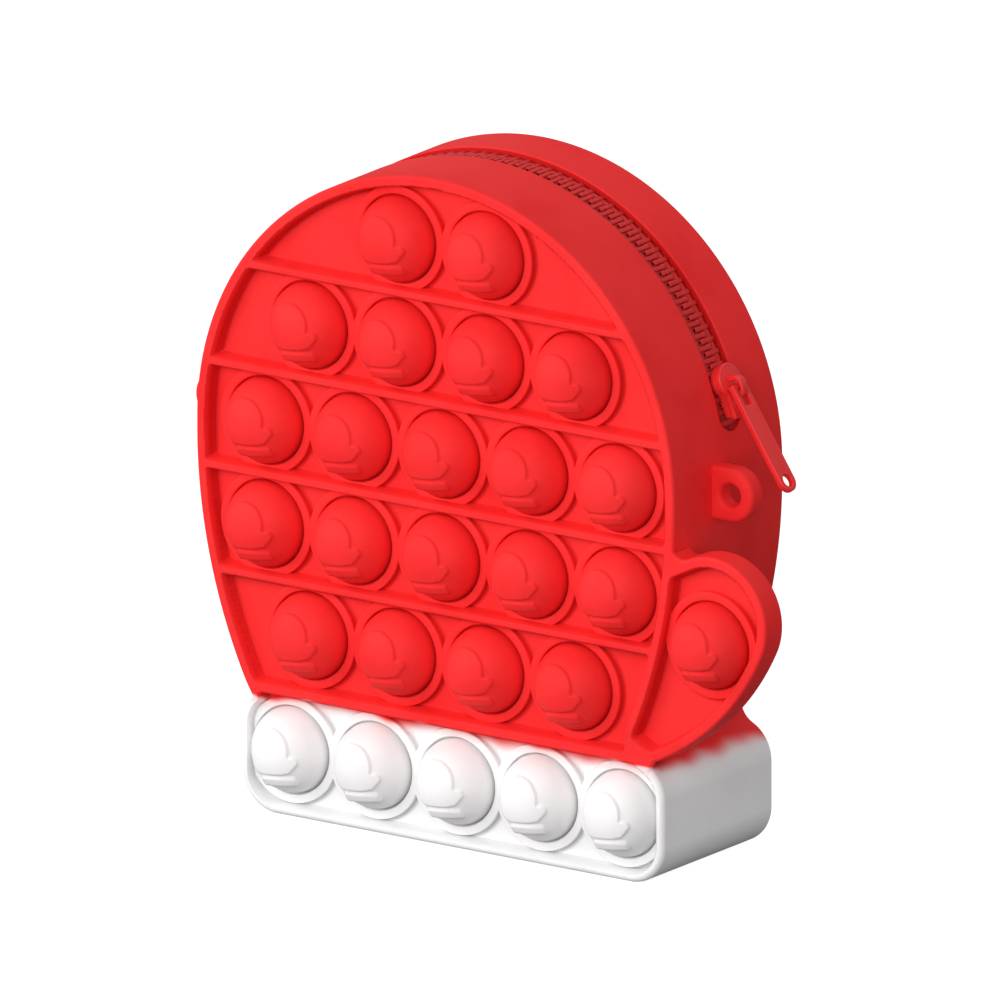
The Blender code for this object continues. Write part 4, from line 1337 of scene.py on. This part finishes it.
def silicone(name, two_tone, white=False):
    """Satin silicone in red, in white, or red above white."""
    finish = Finish(name, Specular_IOR_Level=0.12)
    cloud = finish.noise(16 * MM, 3, 0.5)
    fine = finish.noise(0.35 * MM, 2, 0.6)
    # The attribute read here is painted shade: it darkens the red, and greys the white, in
    # creases, at the feet of walls and on sides turned from the light.
    crease = finish.node('ShaderNodeAttribute', {'attribute_name': "crease"}, output='Fac')
    red = finish.mix(finish.step(cloud, 0.4, 0.8), RED, DEEP_RED)
    red = finish.mix(crease * 0.75, red, PAINTED_SHADE_RED)
    colour = red
    if two_tone or white:
        pale = finish.mix(finish.step(cloud, 0.4, 0.8), WHITE, GREY_WHITE)
        pale = finish.mix(crease * 0.6, pale, PAINTED_SHADE_GREY)
        _, depth, height = finish.parts(finish.place)
        wander = finish.noise(11 * MM, 1, 0.4) - 0.5
        border = height + wander * (4 * MM)
        haze = finish.step(border, SEAM_Z - 4.4 * MM, SEAM_Z) * (0.7 if two_tone else 0.4)
        colour = finish.mix(haze, pale, HAZE)
        if two_tone:
            side = finish.step(depth, Y_FRONT + 1 * MM, Y_FRONT + 4 * MM)
            above = finish.step(border, SEAM_Z - 0.9 * MM - side * (2.2 * MM), SEAM_Z + 0.1 * MM)
            colour = finish.mix(above, colour, red)
    dust = finish.noise(1.6 * MM, 4, 0.7)
    rough = 0.5 + 0.1 * cloud + 0.06 * dust
    finish.paint(colour, rough)
    finish.bump(fine * 0.5 + finish.noise(2.2 * MM, 2, 0.5) * 0.5, 0.02 * MM, 0.5)
    return finish


casing_finish = silicone("casing_silicone", True)
red_finish = silicone("red_silicone_moulded", False)
white_finish = silicone("white_silicone_moulded", False, True)
casing_finish.on(front_casing, back_casing, cuff_casing)
for name, piece in domes.items():
    (white_finish if "cuff" in name else red_finish).on(piece)
objects = bpy.data.objects
red_finish.on(objects["lug_right"], objects["lug_left"])
print("silicone:", len(casing_finish.nodes), "nodes on the casings")

# %% [markdown]
# ### Zip and slider
# The tape is a fine herringbone of polyester, drawn on its UV map so that the ribs follow
# the curve. The teeth are moulded plastic, a little harder and greyer than silicone. The
# slider is cast zinc under red lacquer. Both get two close colours that drift into each
# other, because one flat colour looks like paint on a screen and not like a thing.

# %% Weave
tape_finish = Finish("tape_weave", Specular_IOR_Level=0.2, Sheen_Weight=0.25,
                     Sheen_Roughness=0.5)
uv = tape_finish.node('ShaderNodeUVMap', {'uv_map': "along"})
u, v, _ = tape_finish.parts(uv)
slant = v.with_('ABSOLUTE', v.with_('PINGPONG', v, 0.9)) * 0.8
thread = (u + slant).with_('PINGPONG', u + slant, 0.3) / 0.3
pick = v.with_('PINGPONG', v, 0.16) / 0.16
weave = thread * 0.65 + pick * 0.35
fuzz = tape_finish.noise(0.5 * MM, 3, 0.7)
tape_finish.paint(tape_finish.mix((weave * 0.75 + fuzz * 0.3).kept(), rgb(164, 16, 18),
                                  rgb(210, 28, 30)), 0.75 + 0.15 * fuzz)
tape_finish.bump(weave, 0.12 * MM, 0.8)
tape_finish.on(objects["tape_front"], objects["tape_back"])
print("weave:", len(tape_finish.nodes), "nodes")

# %% Plastic and lacquer

def clouded(finish, cloud, dark, light, rough, spread, grain, strength):
    """Two colours that drift into each other, with a roughness that drifts along."""
    finish.paint(finish.mix(cloud, dark, light), rough + spread * cloud)
    finish.bump(grain, 0.03 * MM, strength)


plastic = Finish("tooth_plastic", Specular_IOR_Level=0.25)
clouded(plastic, plastic.noise(3 * MM, 3, 0.6), rgb(208, 34, 35), rgb(226, 48, 48),
        0.33, 0.15, plastic.noise(0.4 * MM, 2, 0.6), 0.6)
plastic.on(*(objects[name] for name in ("teeth_front", "teeth_back", "top_stop",
                                        "bottom_stop")))
lacquer = Finish("lacquered_zinc", Coat_Weight=0.12, Coat_Roughness=0.15,
                 Specular_IOR_Level=0.3)
clouded(lacquer, lacquer.noise(1.2 * MM, 4, 0.6), rgb(244, 40, 42), rgb(252, 52, 54),
        0.3, 0.18, lacquer.noise(0.5 * MM, 3, 0.6), 0.5)
lacquer.on(*(objects[name] for name in ("slider", "slider_inner_wing", "pull")))
print("plastic and lacquer:", len(plastic.nodes) + len(lacquer.nodes), "nodes")

# %% [markdown]
# ## Studio
# The photograph is taken with a long lens in white light, mostly from the front and the
# upper left, on white. The camera is a parallel one, turned 35 degrees to the right of the
# front and 16 degrees up. The floor is pale and plain.

# %% Camera
AZIMUTH = math.radians(35)
ELEVATION = math.radians(16)
TARGET = Vector((2.07 * MM, 0, 78.5 * MM))
VIEW_WIDTH = 0.2322
CAMERA_DISTANCE = 0.8
back_way = Vector((math.sin(AZIMUTH) * math.cos(ELEVATION),
                   -math.cos(AZIMUTH) * math.cos(ELEVATION), math.sin(ELEVATION)))
camera = bpy.data.objects.new("camera", bpy.data.cameras.new("camera"))
bpy.context.scene.collection.objects.link(camera)
camera.data.type = 'ORTHO'
camera.data.ortho_scale = VIEW_WIDTH
camera.data.clip_start = 0.01
camera.data.clip_end = 10
camera.location = TARGET + back_way * CAMERA_DISTANCE
camera.rotation_euler = back_way.to_track_quat('Z', 'Y').to_euler()
bpy.context.scene.camera = camera

# %% Floor and lights
LIGHT_AIM = 0.08
LIGHT_DISTANCE = 1.2
floor_mesh = bmesh.new()
bmesh.ops.create_grid(floor_mesh, x_segments=1, y_segments=1, size=4)
floor = new_object("studio_floor", floor_mesh, False)
floor_finish = Finish("studio_floor", Specular_IOR_Level=0.1, Roughness=0.8,
                      Emission_Color=(1, 1, 1, 1))
grey = floor_finish.noise(0.4, 2, 0.5)
floor_finish.paint(floor_finish.mix(grey, (0.27, 0.27, 0.27, 1), (0.29, 0.29, 0.29, 1)))
seen = floor_finish.node('ShaderNodeLightPath', output='Is Camera Ray')
floor_finish.feed(floor_finish.shader.inputs['Emission Strength'], seen * 0.95)
floor_finish.on(floor)


def soft_light(name, way, power):
    """A square soft box that faces the pouch from a direction."""
    lamp = bpy.data.lights.new(name, 'AREA')
    lamp.size = 1
    lamp.energy = power
    lamp_object = bpy.data.objects.new(name, lamp)
    way = Vector(way).normalized()
    lamp_object.location = Vector((0, 0, LIGHT_AIM)) + way * LIGHT_DISTANCE
    lamp_object.rotation_euler = way.to_track_quat('Z', 'Y').to_euler()
    bpy.context.scene.collection.objects.link(lamp_object)


soft_light("left_box", (-0.6, -0.72, 0.35), 8.3)
soft_light("right_box", (0.3, -0.9, 0.3), 6.8)
soft_light("top_box", (0.1, 0.45, 1), 1.5)

# %% Surroundings
world = bpy.data.worlds.new("studio")
world.use_nodes = True
nodes, links = world.node_tree.nodes, world.node_tree.links
surround = nodes["Background"]
surround.inputs["Strength"].default_value = 0.45
backdrop = nodes.new('ShaderNodeBackground')
backdrop.inputs["Strength"].default_value = 1.0
chosen = nodes.new('ShaderNodeMixShader')
for node in (surround, backdrop):
    node.inputs["Color"].default_value = (1, 1, 1, 1)
links.new(nodes.new('ShaderNodeLightPath').outputs['Is Camera Ray'], chosen.inputs[0])
links.new(surround.outputs[0], chosen.inputs[1])
links.new(backdrop.outputs[0], chosen.inputs[2])
links.new(chosen.outputs[0], nodes["World Output"].inputs["Surface"])
bpy.context.scene.world = world
bpy.context.scene.view_settings.view_transform = 'Standard'
